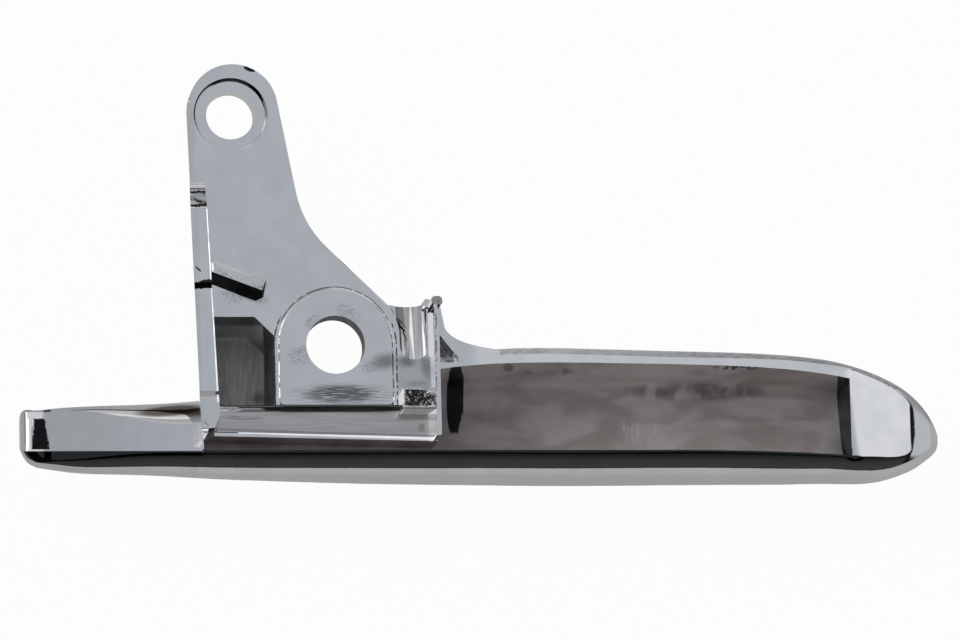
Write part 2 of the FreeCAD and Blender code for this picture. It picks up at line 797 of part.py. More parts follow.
def recess():
    """Open space under the pivot pad, so that the pivot hole goes right through."""
    left = WINDOW_RIGHT + BOX_WALL
    right = RIGHT_FLANGE_X - 1.3
    return plan_prism(
        [
            (left - 1.5, RECESS_FRONT, 1.0),
            (right, RECESS_FRONT, 1.0),
            (right, MARGIN * 2),
            (left - 1.5, MARGIN * 2),
        ],
        -KEEL_DEPTH - MARGIN,
        PLATE_BOTTOM,
    )


def pocket_section(x):
    """Section of the grip's pocket: drafted rear wall, floor that sweeps up to the front."""
    s = hull_at(x)
    floor = s.keel + GRIP_FLOOR
    rear = s.rear - GRIP_WALL
    foot = rear - math.tan(math.radians(POCKET_DRAFT)) * (DECK - floor)
    front = crest_at(x) + POCKET_FRONT_INSET
    top_rear = vec(x, rear, DECK + 1)
    wall_end = vec(x, foot, floor + POCKET_CORNER)
    floor_start = vec(x, foot - POCKET_CORNER, floor)
    front_start = vec(x, front, DECK - POCKET_FRONT_WALL)
    top_front = vec(x, front, DECK + 1)
    return Part.Wire([
        straight(top_rear, wall_end),
        quarter(wall_end, vec(x, foot, floor), floor_start),
        quarter(floor_start, vec(x, front, floor), front_start),
        straight(front_start, top_front),
        straight(top_front, top_rear),
    ])


def grip_pocket():
    """Deep pocket that hollows the grip from the mounting side."""
    left = RIGHT_FLANGE_X
    right = grip_x(1) - NOSE_LENGTH
    shares = (0.0, 0.3, 0.6, 0.8, 1.0)
    wires = [pocket_section(left + share * (right - left)) for share in shares]
    return Part.makeLoft(wires, True, False)


def slot():
    """Narrow slot between the lip and the front crest, open into the pocket."""
    right = RIGHT_FLANGE_X + 1.5
    inset = POCKET_FRONT_INSET
    return plan_prism(
        [
            (SLOT_LEFT, lip_front(SLOT_LEFT), 0.3),
            (SLOT_LEFT, crest_at(SLOT_LEFT) + inset, 0.3),
            (right, crest_at(right) + inset),
            (right, lip_front(right), 0.3),
        ],
        DECK - SLOT_DEPTH,
        MARGIN,
    )


def channel():
    """Shallow channel between the plate and the lip, with a round ejector mark."""
    left = flange_inner_x(-PLATE_FRONT, PLATE_TOP)
    right = RIGHT_FLANGE_X - RIGHT_FLANGE_WALL
    floor = DECK - CHANNEL_SINK
    shallow = plan_prism(
        [
            (left, -PLATE_FRONT),
            (left, lip_front(left) + LIP_WIDTH),
            (right, lip_front(right) + LIP_WIDTH),
            (right, -PLATE_FRONT),
        ],
        floor,
        PLATE_TOP + 0.01,
    )
    mark = Part.makeCylinder(
        PIN_MARK_RADIUS, 1.0, vec(PIN_MARK_X, PIN_MARK_Y, floor - PIN_MARK_DEPTH)
    )
    return shallow.fuse(mark)


def pivot_hole():
    """Through hole of the pivot."""
    return Part.makeCylinder(PIVOT_RADIUS, 6 * MARGIN, vec(0, 0, -KEEL_DEPTH - MARGIN))


def link_hole():
    """Through hole of the link with its shallow tapered sink."""
    through = Part.makeCylinder(LINK_RADIUS, 4 * MARGIN, vec(LINK_X, LINK_Y, -2 * MARGIN))
    sink = Part.makeCone(
        LINK_SINK_RADIUS - LINK_SINK_TAPER,
        LINK_SINK_RADIUS,
        LINK_SINK_DEPTH,
        vec(LINK_X, LINK_Y, PLATE_TOP - LINK_SINK_DEPTH),
    )
    rim = Part.makeCylinder(LINK_SINK_RADIUS, 1.0, vec(LINK_X, LINK_Y, PLATE_TOP))
    return through.fuse(sink).fuse(rim)


def handle_lever():
    """The whole lever as one moulded solid."""
    body = hull().cut(recess())
    for piece in (
        neck(),
        window_box(),
        plate(),
        right_block(),
        pad(),
        left_flange(),
        gusset_rib(),
        right_flange(),
        rough_block(),
    ):
        body = body.fuse(piece)
    channel_cut = channel().cut(rough_block()).cut(left_flange())
    slot_cut = slot()
    for hollow in (
        channel_cut,
        slot_cut,
        grip_pocket(),
        neck_cavity(),
        trough_cutter(),
        window_pocket(),
        pivot_hole(),
        link_hole(),
    ):
        body = body.cut(hollow)
    return body.fuse(cap_lobe()).removeSplitter()


def main():
    """Writes the lever."""
    os.makedirs("parts", exist_ok=True)
    lever = handle_lever()
    print("solids", len(lever.Solids), "valid", lever.isValid(), "volume", lever.Volume)
    print(lever.BoundBox)
    lever.exportStep("parts/handle_lever.step")


main()
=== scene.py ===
import logging
from dataclasses import dataclass, field
from enum import Enum

import bpy
import numpy as np
from mathutils import Matrix, Vector


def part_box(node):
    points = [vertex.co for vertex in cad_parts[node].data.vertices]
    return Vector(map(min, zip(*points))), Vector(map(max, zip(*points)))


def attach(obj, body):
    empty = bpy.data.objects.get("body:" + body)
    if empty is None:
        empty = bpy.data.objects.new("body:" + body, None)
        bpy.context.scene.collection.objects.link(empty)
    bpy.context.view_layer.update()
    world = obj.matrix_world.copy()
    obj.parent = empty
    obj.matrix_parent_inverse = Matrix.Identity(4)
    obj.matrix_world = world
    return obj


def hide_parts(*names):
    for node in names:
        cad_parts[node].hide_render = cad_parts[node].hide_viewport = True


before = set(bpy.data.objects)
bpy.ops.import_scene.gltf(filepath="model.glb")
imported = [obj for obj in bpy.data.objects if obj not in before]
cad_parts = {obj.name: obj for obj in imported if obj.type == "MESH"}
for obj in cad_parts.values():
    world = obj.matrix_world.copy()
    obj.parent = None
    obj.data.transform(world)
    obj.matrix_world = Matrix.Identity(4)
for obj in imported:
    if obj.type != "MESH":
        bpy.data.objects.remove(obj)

LOG = logging.getLogger("lever")
MM = 0.001
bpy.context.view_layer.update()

# Slant of the photograph's line of sight: how far x and y move for each millimetre.
SIGHT_X_BY_Y = -0.0251
SIGHT_X_BY_Z = 0.1287
SIGHT_Y_BY_Z = 0.1953

# Line of the lip in front of the channel, in coordinates along the line of sight.
LIP_SLOPE = 0.035
LIP_DEPTH = 13.62

# Least z of a normal that counts as facing up.
UPWARD = 0.3


class Finish(Enum):
    """Finishes of the lever, in the order of its material slots."""

    BRIGHT = 0
    DULL = 1
    WINDOW = 2
    CHANNEL = 3
    ROUGH = 4
    MATTE = 5


@dataclass
class Nodes:
    """Short ways to add nodes to one material's or world's tree."""

    tree: bpy.types.NodeTree

    def link(self, source: bpy.types.NodeSocket, target: bpy.types.NodeSocket) -> None:
        """Links two sockets."""
        self.tree.links.new(source, target)

    def put(self, target: bpy.types.NodeSocket, value: object) -> None:
        """Gives a socket a link or a fixed value.

        Args:
            target: Input socket.
            value: Socket to link, or a number or a tuple to write.
        """
        if isinstance(value, bpy.types.NodeSocket):
            self.link(value, target)
        else:
            target.default_value = value

    def millimetres(self) -> bpy.types.NodeSocket:
        """Object coordinates in millimetres.

        Returns:
            The coordinates.
        """
        place = self.tree.nodes.new("ShaderNodeTexCoord")
        scale = self.tree.nodes.new("ShaderNodeVectorMath")
        scale.operation = "SCALE"
        scale.inputs["Scale"].default_value = 1.0 / MM
        self.link(place.outputs["Object"], scale.inputs[0])
        return scale.outputs[0]

    def sheared(self, place: bpy.types.NodeSocket) -> bpy.types.NodeSocket:
        """Coordinates along the photograph's line of sight, fixed to the object.

        The new x is x + SIGHT_X_BY_Y y + SIGHT_X_BY_Z z and the new y is y + SIGHT_Y_BY_Z z.
        These are the camera's right and up axes, so a mark keeps its place in the photograph's
        view at any depth. It reaches through every depth, and doesn't follow a moved camera.

        Args:
            place: Coordinates in millimetres.

        Returns:
            The new coordinates, with z at zero.
        """
        x, y, z = self.split(place)
        across = self.math(
            "ADD",
            self.math("ADD", x, self.math("MULTIPLY", y, SIGHT_X_BY_Y)),
            self.math("MULTIPLY", z, SIGHT_X_BY_Z),
        )
        up = self.math("ADD", y, self.math("MULTIPLY", z, SIGHT_Y_BY_Z))
        node = self.tree.nodes.new("ShaderNodeCombineXYZ")
        self.link(across, node.inputs[0])
        self.link(up, node.inputs[1])
        return node.outputs[0]

    def split(self, vector: bpy.types.NodeSocket) -> list[bpy.types.NodeSocket]:
        """The x, y and z of a vector.

        Args:
            vector: Vector to take apart.

        Returns:
            Its three parts.
        """
        node = self.tree.nodes.new("ShaderNodeSeparateXYZ")
        self.link(vector, node.inputs[0])
        return list(node.outputs)

    def math(self, operation: str, first: object, second: object = 0.0) -> bpy.types.NodeSocket:
        """One arithmetic step.

        Args:
            operation: Name of the step.
            first: Left value.
            second: Right value.

        Returns:
            The result.
        """
        node = self.tree.nodes.new("ShaderNodeMath")
        node.operation = operation
        self.put(node.inputs[0], first)
        self.put(node.inputs[1], second)
        return node.outputs[0]

    def span(
        self, value: object, start: float, end: float, low: float = 0.0, high: float = 1.0
    ) -> bpy.types.NodeSocket:
        """Smooth step from one level to another.

        Args:
            value: Value that is read.
            start: Where the step begins.
            end: Where the step ends.
            low: Level at the start.
            high: Level at the end.

        Returns:
            The level.
        """
        node = self.tree.nodes.new("ShaderNodeMapRange")
        node.interpolation_type = "SMOOTHSTEP"
        self.put(node.inputs["Value"], value)
        flip = start > end
        node.inputs["From Min"].default_value = end if flip else start
        node.inputs["From Max"].default_value = start if flip else end
        node.inputs["To Min"].default_value = high if flip else low
        node.inputs["To Max"].default_value = low if flip else high
        return node.outputs[0]

    def moved(
        self,
        vector: bpy.types.NodeSocket,
        centre: tuple[float, float, float] = (0.0, 0.0, 0.0),
        size: tuple[float, float, float] = (1.0, 1.0, 1.0),
        turn: float = 0.0,
    ) -> bpy.types.NodeSocket:
        """Coordinates about a centre, turned in plan and divided by a size.

        Args:
            vector: Coordinates in millimetres.
            centre: New zero point.
            size: Length that becomes one, along each axis.
            turn: Angle of the new x axis in degrees.

        Returns:
            The new coordinates.
        """
        node = self.tree.nodes.new("ShaderNodeMapping")
        node.vector_type = "TEXTURE"
        node.inputs["Location"].default_value = centre
        node.inputs["Rotation"].default_value = (0.0, 0.0, np.radians(turn))
        node.inputs["Scale"].default_value = size
        self.link(vector, node.inputs["Vector"])
        return node.outputs[0]

    def patch(
        self,
        vector: bpy.types.NodeSocket,
        centre: tuple[float, float, float],
        size: tuple[float, float, float],
        turn: float = 0.0,
        core: float = 0.5,
    ) -> bpy.types.NodeSocket:
        """Soft round mask: one inside the core share of an ellipsoid, none outside it.

        Args:
            vector: Coordinates in millimetres.
            centre: Middle of the ellipsoid.
            size: Its three half axes.
            turn: Its angle in plan, in degrees.
            core: Share of the half axes that is fully inside.

        Returns:
            The mask.
        """
        length = self.tree.nodes.new("ShaderNodeVectorMath")
        length.operation = "LENGTH"
        self.link(self.moved(vector, centre, size, turn), length.inputs[0])
        return self.span(length.outputs["Value"], 1.0, core)

    def noise(
        self, vector: bpy.types.NodeSocket, scale: float, detail: float = 2.0, twist: float = 0.0
    ) -> bpy.types.NodeSocket:
        """Fractal noise.

        Args:
            vector: Coordinates.
            scale: Waves for each unit.
            detail: Octaves.
            twist: Distortion.

        Returns:
            The noise, about 0.3 to 0.7.
        """
        node = self.tree.nodes.new("ShaderNodeTexNoise")
        node.inputs["Scale"].default_value = scale
        node.inputs["Detail"].default_value = detail
        node.inputs["Distortion"].default_value = twist
        self.link(vector, node.inputs["Vector"])
        return node.outputs["Fac"]

    def mix(self, share: object, first: object, second: object) -> bpy.types.NodeSocket:
        """Blend of two colours.

        Args:
            share: Weight of the second colour.
            first: Colour at share 0.
            second: Colour at share 1.

        Returns:
            The colour.
        """
        node = self.tree.nodes.new("ShaderNodeMix")
        node.data_type = "RGBA"
        self.put(node.inputs["Factor"], share)
        for socket, value in ((node.inputs[6], first), (node.inputs[7], second)):
            self.put(socket, (*value, 1.0) if isinstance(value, tuple) else value)
        return node.outputs[2]

    def ramp(
        self, value: bpy.types.NodeSocket, stops: list[tuple[float, tuple[float, float, float]]]
    ) -> bpy.types.NodeSocket:
        """Colour ramp over the range from -1 to 1.

        Args:
            value: Value that is read.
            stops: Places and their colours, from low to high.

        Returns:
            The colour.
        """
        node = self.tree.nodes.new("ShaderNodeValToRGB")
        share = self.math("MULTIPLY_ADD", value, 0.5)
        share.node.inputs[2].default_value = 0.5
        self.link(share, node.inputs[0])
        elements = node.color_ramp.elements
        elements.remove(elements[-1])
        elements[0].position = (stops[0][0] + 1) / 2
        elements[0].color = (*stops[0][1], 1.0)
        for place, colour in stops[1:]:
            elements.new((place + 1) / 2).color = (*colour, 1.0)
        return node.outputs[0]

    def band(
        self, value: object, low: float, high: float, soft: float = 0.08
    ) -> bpy.types.NodeSocket:
        """Mask that is one between two places and falls off softly outside them.

        Args:
            value: Value that is read.
            low: Lower place.
            high: Upper place.
            soft: Width of each fall.

        Returns:
            The mask.
        """
        return self.math(
            "MULTIPLY", self.span(value, low - soft, low), self.span(value, high + soft, high)
        )

    def product(self, *masks: object) -> bpy.types.NodeSocket:
        """Multiplies masks.

        Args:
            masks: Masks or plain numbers.

        Returns:
            Their product.
        """
        result = masks[0]
        for mask in masks[1:]:
            result = self.math("MULTIPLY", result, mask)
        return result

    def facing(self, axis: int) -> bpy.types.NodeSocket:
        """One part of the smooth surface normal, 0 for x, 1 for y, 2 for z."""
        return self.split(self.tree.nodes.new("ShaderNodeNewGeometry").outputs["Normal"])[axis]

    def tilted(
        self, normal: bpy.types.NodeSocket, share: bpy.types.NodeSocket, lean: tuple[
            float, float, float
        ]
    ) -> bpy.types.NodeSocket:
        """Normal that leans another way where a mask says so.

        Args:
            normal: Surface normal.
            share: Mask.
            lean: Vector that is added where the mask is one.

        Returns:
            The normal.
        """
        scale = self.tree.nodes.new("ShaderNodeVectorMath")
        scale.operation = "SCALE"
        scale.inputs[0].default_value = lean
        self.link(share, scale.inputs["Scale"])
        total = self.tree.nodes.new("ShaderNodeVectorMath")
        total.operation = "ADD"
        self.link(normal, total.inputs[0])
        self.link(scale.outputs[0], total.inputs[1])
        unit = self.tree.nodes.new("ShaderNodeVectorMath")
        unit.operation = "NORMALIZE"
        self.link(total.outputs[0], unit.inputs[0])
        return unit.outputs[0]

    def bump(
        self, height: bpy.types.NodeSocket, depth: float, before: object = None
    ) -> bpy.types.NodeSocket:
        """Bumped surface normal.

        Args:
            height: Height in shares of the depth.
            depth: Depth in millimetres.
            before: Normal that is bumped further.

        Returns:
            The normal.
        """
        node = self.tree.nodes.new("ShaderNodeBump")
        node.inputs["Distance"].default_value = depth * MM
        self.link(height, node.inputs["Height"])
        if before is not None:
            self.link(before, node.inputs["Normal"])
        return node.outputs[0]


def new_material(name: str) -> tuple[bpy.types.Material, Nodes, bpy.types.Node]:
    """Starts a node material.

    Args:
        name: Name of the finish.

    Returns:
        The material, its node helper and its main shader.
    """
    material = bpy.data.materials.new(name)
    material.use_nodes = True
    return material, Nodes(material.node_tree), material.node_tree.nodes["Principled BSDF"]


@dataclass(frozen=True)
class BrightChrome:
    """Mirror plating with faint waves, clouds, scratches, marks, painted reflections and shade.

    The painted reflections and shade stay where they are in other views.
    """

    name: str = "bright_chrome"
    colour: tuple[float, float, float] = (0.80, 0.81, 0.83)
    # Dark colour of real smudges, of painted shade under the rib and of painted dark reflections.
    stain_shade_and_reflection: tuple[float, float, float] = (0.10, 0.10, 0.10)
    # Black of the painted reflection and painted shade lines, and of the nicks.
    black: tuple[float, float, float] = (0.03, 0.03, 0.032)
    # Dark brown of a painted reflection on the wing's rear slope.
    brown: tuple[float, float, float] = (0.10, 0.085, 0.07)
    wave_depth: float = 0.035
    scratch_depth: float = 0.004
    pad_radius: float = 8.85
    end_middle: float = 45.1
    end_reach: float = 3.2

    def stains_and_rib_shade(self, nodes: Nodes, place: bpy.types.NodeSocket) -> bpy.types.NodeSocket:
        """Dark marks: streaks at the pad's front, hair lines round the bore, rubbed spots.

        One soft patch under the rib is painted shade.

        Args:
            nodes: Node helper of the material.
            place: Coordinates in millimetres.

        Returns:
            The mask of the marks.
        """
        streak = nodes.noise(nodes.moved(place, size=(2.6, 0.17, 1.0)), 1.0, 4.0, 0.2)
        broad = nodes.patch(place, (1.0, -7.7, 0.0), (10.5, 2.3, 1.2), 0.0, 0.25)
        core = nodes.patch(place, (0.6, -7.6, 0.0), (7.0, 1.9, 1.2), 0.0, 0.45)
        marks = nodes.product(nodes.span(streak, 0.44, 0.60), broad)
        marks = nodes.math("MAXIMUM", marks, nodes.product(nodes.span(streak, 0.33, 0.50), core))
        hair = nodes.noise(nodes.moved(place, size=(1.6, 0.5, 1.0), turn=35.0), 1.0, 5.0, 2.6)
        lines = nodes.span(nodes.math("ABSOLUTE", nodes.math("SUBTRACT", hair, 0.5)), 0.03, 0.008)
        for centre, size, turn in (
            ((2.0, 4.9, 0.0), (2.6, 1.5, 1.0), -35.0),
            ((-5.6, -1.7, 0.0), (2.2, 2.0, 1.0), 20.0),
            ((-3.6, 3.7, 0.0), (1.8, 0.8, 1.0), 40.0),
            ((5.2, -3.4, 0.0), (1.8, 1.2, 1.0), 20.0),
            ((-15.6, 7.6, -0.4), (2.2, 1.3, 0.6), -20.0),
        ):
            zone = nodes.patch(place, centre, size, turn, 0.55)
            marks = nodes.math("MAXIMUM", marks, nodes.product(lines, zone))
        fine = nodes.noise(place, 6.5, 4.0, 0.2)
        for centre, size, turn, share in (
            ((7.6, -2.6, 0.0), (3.3, 1.9, 1.2), 10.0, 0.95),
            ((10.9, -2.5, -0.4), (2.2, 1.5, 1.0), 0.0, 0.85),
            ((13.9, -3.4, -0.4), (1.3, 3.0, 1.0), 14.0, 0.75),
            # Painted shade: soft dark patch on the arm under the rib.
            ((-13.2, 7.9, -0.4), (4.2, 1.3, 0.6), -20.8, 0.9),
            ((12.6, -6.0, -0.4), (3.2, 0.8, 1.0), 0.0, 0.45),
        ):
            zone = nodes.patch(place, centre, size, turn, 0.15)
            cloud = nodes.product(nodes.span(fine, 0.24, 0.58), zone)
            marks = nodes.math("MAXIMUM", marks, nodes.math("MULTIPLY", cloud, share))
        cloud = nodes.noise(place, 2.6, 5.0, 0.8)
        for centre, size, turn, start in (
            ((-17.6, 9.9, 3.9), (3.0, 0.9, 0.6), -20.8, 0.50),
            ((-11.8, 7.7, 3.9), (2.6, 0.9, 0.6), -20.8, 0.47),
            ((-18.7, 12.0, 4.3), (0.9, 0.4, 0.6), -45.0, 0.38),
            ((-22.2, 6.0, 4.3), (0.5, 0.4, 0.6), 0.0, 0.35),
        ):
            zone = nodes.patch(place, centre, size, turn, 0.5)
            marks = nodes.math(
                "MAXIMUM", marks, nodes.product(nodes.span(cloud, start, start + 0.16), zone)
            )
        return marks

    def edges(
        self, nodes: Nodes, place: bpy.types.NodeSocket, plan: bpy.types.NodeSocket
    ) -> bpy.types.NodeSocket:
        """Dark lines and strips: painted reflections, painted shade and the nicks.

        The painted reflections are the lines on the pad's outline and along the flange's rounded
        top, the crumpled wall of the neck, and the black strip along the grip's and the wing's
        front. The painted shade is in the sink and on the flange's steps and gap. The nicks are
        real.

        Args:
            nodes: Node helper of the material.
            place: Coordinates in millimetres.
            plan: Coordinates in plan.

        Returns:
            The mask of the lines.
        """
        x, y, z = nodes.split(place)
        across, up, _ = nodes.split(plan)
        broken = nodes.noise(place, 1.3, 3.0)
        wobble = nodes.math("MULTIPLY", nodes.math("SUBTRACT", broken, 0.5), 0.8)
        # Painted reflection: broken dark lines along the pad's rounded outline.
        rim = self.pad_rim(nodes, place)
        near = nodes.band(z, -0.5, 0.1)
        marks = nodes.product(
            nodes.band(rim, -0.20, -0.08, 0.05),
            nodes.span(broken, 0.44, 0.52),
            nodes.span(y, 3.0, 1.5),
            near,
            0.85,
        )
        arch = nodes.product(
            nodes.band(rim, 0.10, 0.22, 0.06),
            nodes.span(broken, 0.34, 0.42),
            nodes.span(y, 3.0, 4.5),
            near,
            0.8,
        )
        marks = nodes.math("MAXIMUM", marks, arch)
        outer = nodes.product(
            nodes.band(rim, 0.42, 0.58, 0.06),
            nodes.span(broken, 0.46, 0.52),
            nodes.span(y, 5.0, 3.5),
            near,
            0.9,
        )
        marks = nodes.math("MAXIMUM", marks, outer)
        # Painted reflection: black strips along the grip's and the wing's front and at the nose's
        # corner.
        along = nodes.math("MULTIPLY", nodes.span(x, -20.6, -20.3), nodes.span(x, 79.8, 79.4))
        deck = nodes.product(nodes.span(y, -15.6, -15.8), nodes.span(z, -2.5, -2.42), along)
        wing = nodes.product(
            nodes.span(up, -16.36, -16.5),
            nodes.span(z, -2.6, -2.5),
            nodes.span(across, -20.2, -20.4),
        )
        corner = nodes.product(
            nodes.patch(plan, (80.1, -17.75, 0.0), (1.6, 0.55, 1.0), 0.0, 0.7),
            nodes.span(nodes.facing(2), 0.05, 0.2),
        )
        for strip in (deck, wing, corner):
            marks = nodes.math("MAXIMUM", marks, nodes.math("MULTIPLY", strip, 0.985))
        # Painted shade: dark lines at the flange's steps and in its gap.
        top = nodes.span(z, 0.0, 0.2)
        shifted = nodes.math("ADD", up, wobble)
        left = nodes.product(nodes.span(across, -19.3, -19.5), top)
        for low, high in ((25.1, 25.4), (23.55, 23.8), (21.35, 21.75)):
            marks = nodes.math(
                "MAXIMUM", marks, nodes.product(nodes.band(shifted, low, high), left)
            )
        slope = nodes.math("SUBTRACT", shifted, nodes.math("MULTIPLY", across, 0.157))
        gap = nodes.product(nodes.band(slope, 11.95, 13.05), nodes.span(across, -18.3, -18.6), top)
        marks = nodes.math("MAXIMUM", marks, gap)
        for centre, size, turn in (
            ((-20.95, 11.7), (0.75, 0.16), -42.0),
            ((-13.4, 42.9), (1.15, 0.42), -22.0),
            ((-20.6, 42.3), (0.28, 0.22), 30.0),
            ((-21.6, 41.2), (0.22, 0.2), 30.0),
        ):
            nick = nodes.patch(plan, (*centre, 0.0), (*size, 1.0), turn, 0.5)
            marks = nodes.math(
                "MAXIMUM",
                marks,
                nodes.product(
                    nodes.span(nodes.math("ADD", nick, wobble), 0.25, 0.45),
                    nodes.span(z, -0.7, -0.5),
                ),
            )
        # Painted reflection: crumpled dark pattern on the wall of the neck's hollow.
        crumple = nodes.noise(nodes.moved(place, size=(1.0, 1.4, 1.0), turn=-38.0), 1.3, 3.0, 1.0)
        cavity = nodes.product(
            nodes.patch(plan, (17.6, -0.6, 0.0), (3.2, 3.2, 1.0), 0.0, 0.8),
            nodes.span(z, -2.46, -2.6),
            nodes.span(crumple, 0.47, 0.53),
        )
        cavity = nodes.product(cavity, nodes.span(nodes.facing(1), -0.1, -0.3))
        marks = nodes.math("MAXIMUM", marks, nodes.math("MULTIPLY", cavity, 0.92))
        # Painted reflection: broken dark line along the flange's rounded top.
        dots = nodes.noise(nodes.moved(place, size=(0.3, 0.6, 1.0)), 1.0, 3.0)
        seam = nodes.product(
            nodes.band(across, 15.32, 15.50, 0.05),
            nodes.band(up, -13.6, 5.0, 0.5),
            nodes.span(z, 1.5, 1.8),
            nodes.span(dots, 0.48, 0.54),
        )
        marks = nodes.math("MAXIMUM", marks, nodes.math("MULTIPLY", seam, 0.85))
        # Painted shade: dark ring in the sink, darker towards +y.
        sink = nodes.product(
            nodes.band(z, -1.32, -0.44, 0.02),
            nodes.patch(place, (-15.28, 35.88, -0.9), (6.1, 6.1, 3.0), 0.0, 0.97),
        )
        sink = nodes.product(sink, nodes.span(x, -12.6, -11.9))
        marks = nodes.math(
            "MAXIMUM", marks, nodes.product(sink, nodes.span(y, 34.8, 35.8, 0.62, 1.0))
        )
        return marks

    def pad_rim(self, nodes: Nodes, place: bpy.types.NodeSocket) -> bpy.types.NodeSocket:
        """Distance outside the outline of the pad, a half circle with two straight sides.

        Args:
            nodes: Node helper of the material.
            place: Coordinates in millimetres.

        Returns:
            The distance, below zero on the pad.
        """
        x, y, _ = nodes.split(place)
        corner = nodes.tree.nodes.new("ShaderNodeCombineXYZ")
        nodes.link(x, corner.inputs[0])
        nodes.link(nodes.math("MAXIMUM", y, 0.0), corner.inputs[1])
        length = nodes.tree.nodes.new("ShaderNodeVectorMath")
        length.operation = "LENGTH"
        nodes.link(corner.outputs[0], length.inputs[0])
        return nodes.math("SUBTRACT", length.outputs["Value"], self.pad_radius)

    def painted_dark_reflection(
        self, nodes: Nodes, place: bpy.types.NodeSocket, plan: bpy.types.NodeSocket
    ) -> bpy.types.NodeSocket:
        """Share of painted dark reflection, where the real plating mirrors dark things.

        It holds the wing, the trough, the flange's facet and step, the cove, the arm's left
        wall, the grip's rear rim and the flat beside the pad.

        Args:
            nodes: Node helper of the material.
            place: Coordinates in millimetres.
            plan: Coordinates in plan.

        Returns:
            The mask.
        """
        x, y, z = nodes.split(place)
        across, up, _ = nodes.split(plan)
        share = nodes.product(nodes.span(x, -20.8, -21.2), nodes.span(x, -24.0, -44.0, 0.09, 0.20))
        trough = nodes.product(
            nodes.band(x, 9.7, 14.2, 0.1),
            nodes.band(y, -2.5, 7.2, 0.1),
            nodes.span(z, -0.46, -0.52),
        )
        stripe = nodes.math(
            "MAXIMUM",
            nodes.span(across, 11.45, 11.15, 0.0, 0.72),
            nodes.span(across, 12.2, 12.7, 0.0, 0.36),
        )
        share = nodes.math("MAXIMUM", share, nodes.product(trough, stripe))
        facet = nodes.product(
            nodes.span(across, -19.3, -19.5),
            nodes.band(up, 21.5, 25.3),
            nodes.span(z, -0.2, 0.1),
            0.20,
        )
        share = nodes.math("MAXIMUM", share, facet)
        step = nodes.product(
            nodes.band(up, -7.9, -7.1),
            nodes.span(z, 2.0, 2.5),
            nodes.span(across, -17.4, -17.7),
            0.42,
        )
        share = nodes.math("MAXIMUM", share, step)
        cove = nodes.product(
            nodes.band(up, -12.8, -9.2, 0.2),
            nodes.band(x, -41.0, -20.3, 3.0),
            nodes.span(z, -2.41, -2.46),
            nodes.span(nodes.facing(2), 0.05, 0.2),
            0.18,
        )
        share = nodes.math("MAXIMUM", share, cove)
        high = nodes.math("MAXIMUM", nodes.span(y, 12.0, 13.0), nodes.span(z, -2.45, -2.35))
        wall = nodes.product(
            nodes.span(nodes.facing(0), -0.7, -0.9), nodes.band(x, -24.0, -17.0, 1.0), high, 0.56
        )
        share = nodes.math("MAXIMUM", share, wall)
        rear = nodes.product(
            nodes.span(nodes.facing(1), 0.05, 0.2),
            nodes.span(y, -13.0, -11.0),
            nodes.span(nodes.facing(2), 0.05, 0.2),
            nodes.span(x, 20.0, 85.0, 0.0, 0.42),
        )
        share = nodes.math("MAXIMUM", share, rear)
        shore = nodes.product(
            nodes.band(x, 9.4, 15.2, 0.1),
            nodes.band(y, -6.6, -2.2, 0.8),
            nodes.band(z, -0.5, -0.3),
            0.24,
        )
        return nodes.math("MAXIMUM", share, shore)

    def leaning(
        self,
        nodes: Nodes,
        place: bpy.types.NodeSocket,
        plan: bpy.types.NodeSocket,
        normal: bpy.types.NodeSocket,
    ) -> bpy.types.NodeSocket:
        """Small turns of the surface too fine for the solid, such as rounded edges.

        Args:
            nodes: Node helper of the material.
            place: Coordinates in millimetres.
            plan: Coordinates in plan.
            normal: Normal before.

        Returns:
            The normal.
        """
        x, y, z = nodes.split(place)
        across, up, _ = nodes.split(plan)
        beyond = nodes.facing(1)
        land = nodes.product(
            nodes.band(z, -2.43, -2.37, 0.01),
            nodes.span(y, -5.4, -4.8),
            nodes.band(x, 23.0, 79.4, 3.0),
        )
        normal = nodes.tilted(normal, land, (0.0, 0.085, 0.0))
        rim = nodes.product(
            nodes.span(beyond, 0.02, 0.07),
            nodes.span(y, -13.0, -11.0),
            nodes.band(x, 19.5, 84.0, 3.0),
            nodes.span(z, -6.0, -5.0),
        )
        normal = nodes.tilted(normal, rim, (0.0, 1.2, 0.0))
        inner = nodes.math(
            "ADD", nodes.math("ADD", across, nodes.math("MULTIPLY", up, 0.0606)), 18.25
        )
        line = nodes.product(
            nodes.band(inner, -0.22, 0.3, 0.04),
            nodes.span(z, 3.2, 3.4),
            nodes.band(up, -8.6, 21.0, 0.4),
        )
        normal = nodes.tilted(normal, line, (-0.32, 0.0, 0.0))
        ring = nodes.product(
            nodes.band(self.pad_rim(nodes, place), 0.02, 0.10, 0.04),
            nodes.band(z, -0.5, 0.1),
            nodes.span(x, -2.0, 4.0),
        )
        normal = nodes.tilted(normal, ring, (-0.3, 0.0, 0.0))
        lip = nodes.math(
            "ADD", nodes.math("ADD", up, nodes.math("MULTIPLY", across, LIP_SLOPE)), LIP_DEPTH
        )
        lip = nodes.product(
            nodes.band(lip, -0.62, -0.30, 0.06),
            nodes.band(z, -2.5, -2.3, 0.05),
            nodes.band(across, -18.5, 15.4),
        )
        normal = nodes.tilted(normal, lip, (-0.3, 0.0, 0.0))
        sill = nodes.product(
            nodes.span(beyond, -0.8, -0.95),
            nodes.band(y, -9.6, -9.4, 0.02),
            nodes.span(z, -1.4, -1.6),
            nodes.span(across, -10.6, -11.6),
        )
        normal = nodes.tilted(normal, sill, (0.0, 1.0, 1.0))
        face = nodes.product(
            nodes.span(beyond, -0.8, -0.95),
            nodes.band(y, -10.5, -10.1, 0.05),
            nodes.span(z, 2.2, 1.8),
            nodes.span(x, 9.4, 9.8),
        )
        normal = nodes.tilted(normal, face, (0.0, 0.92, 1.0))
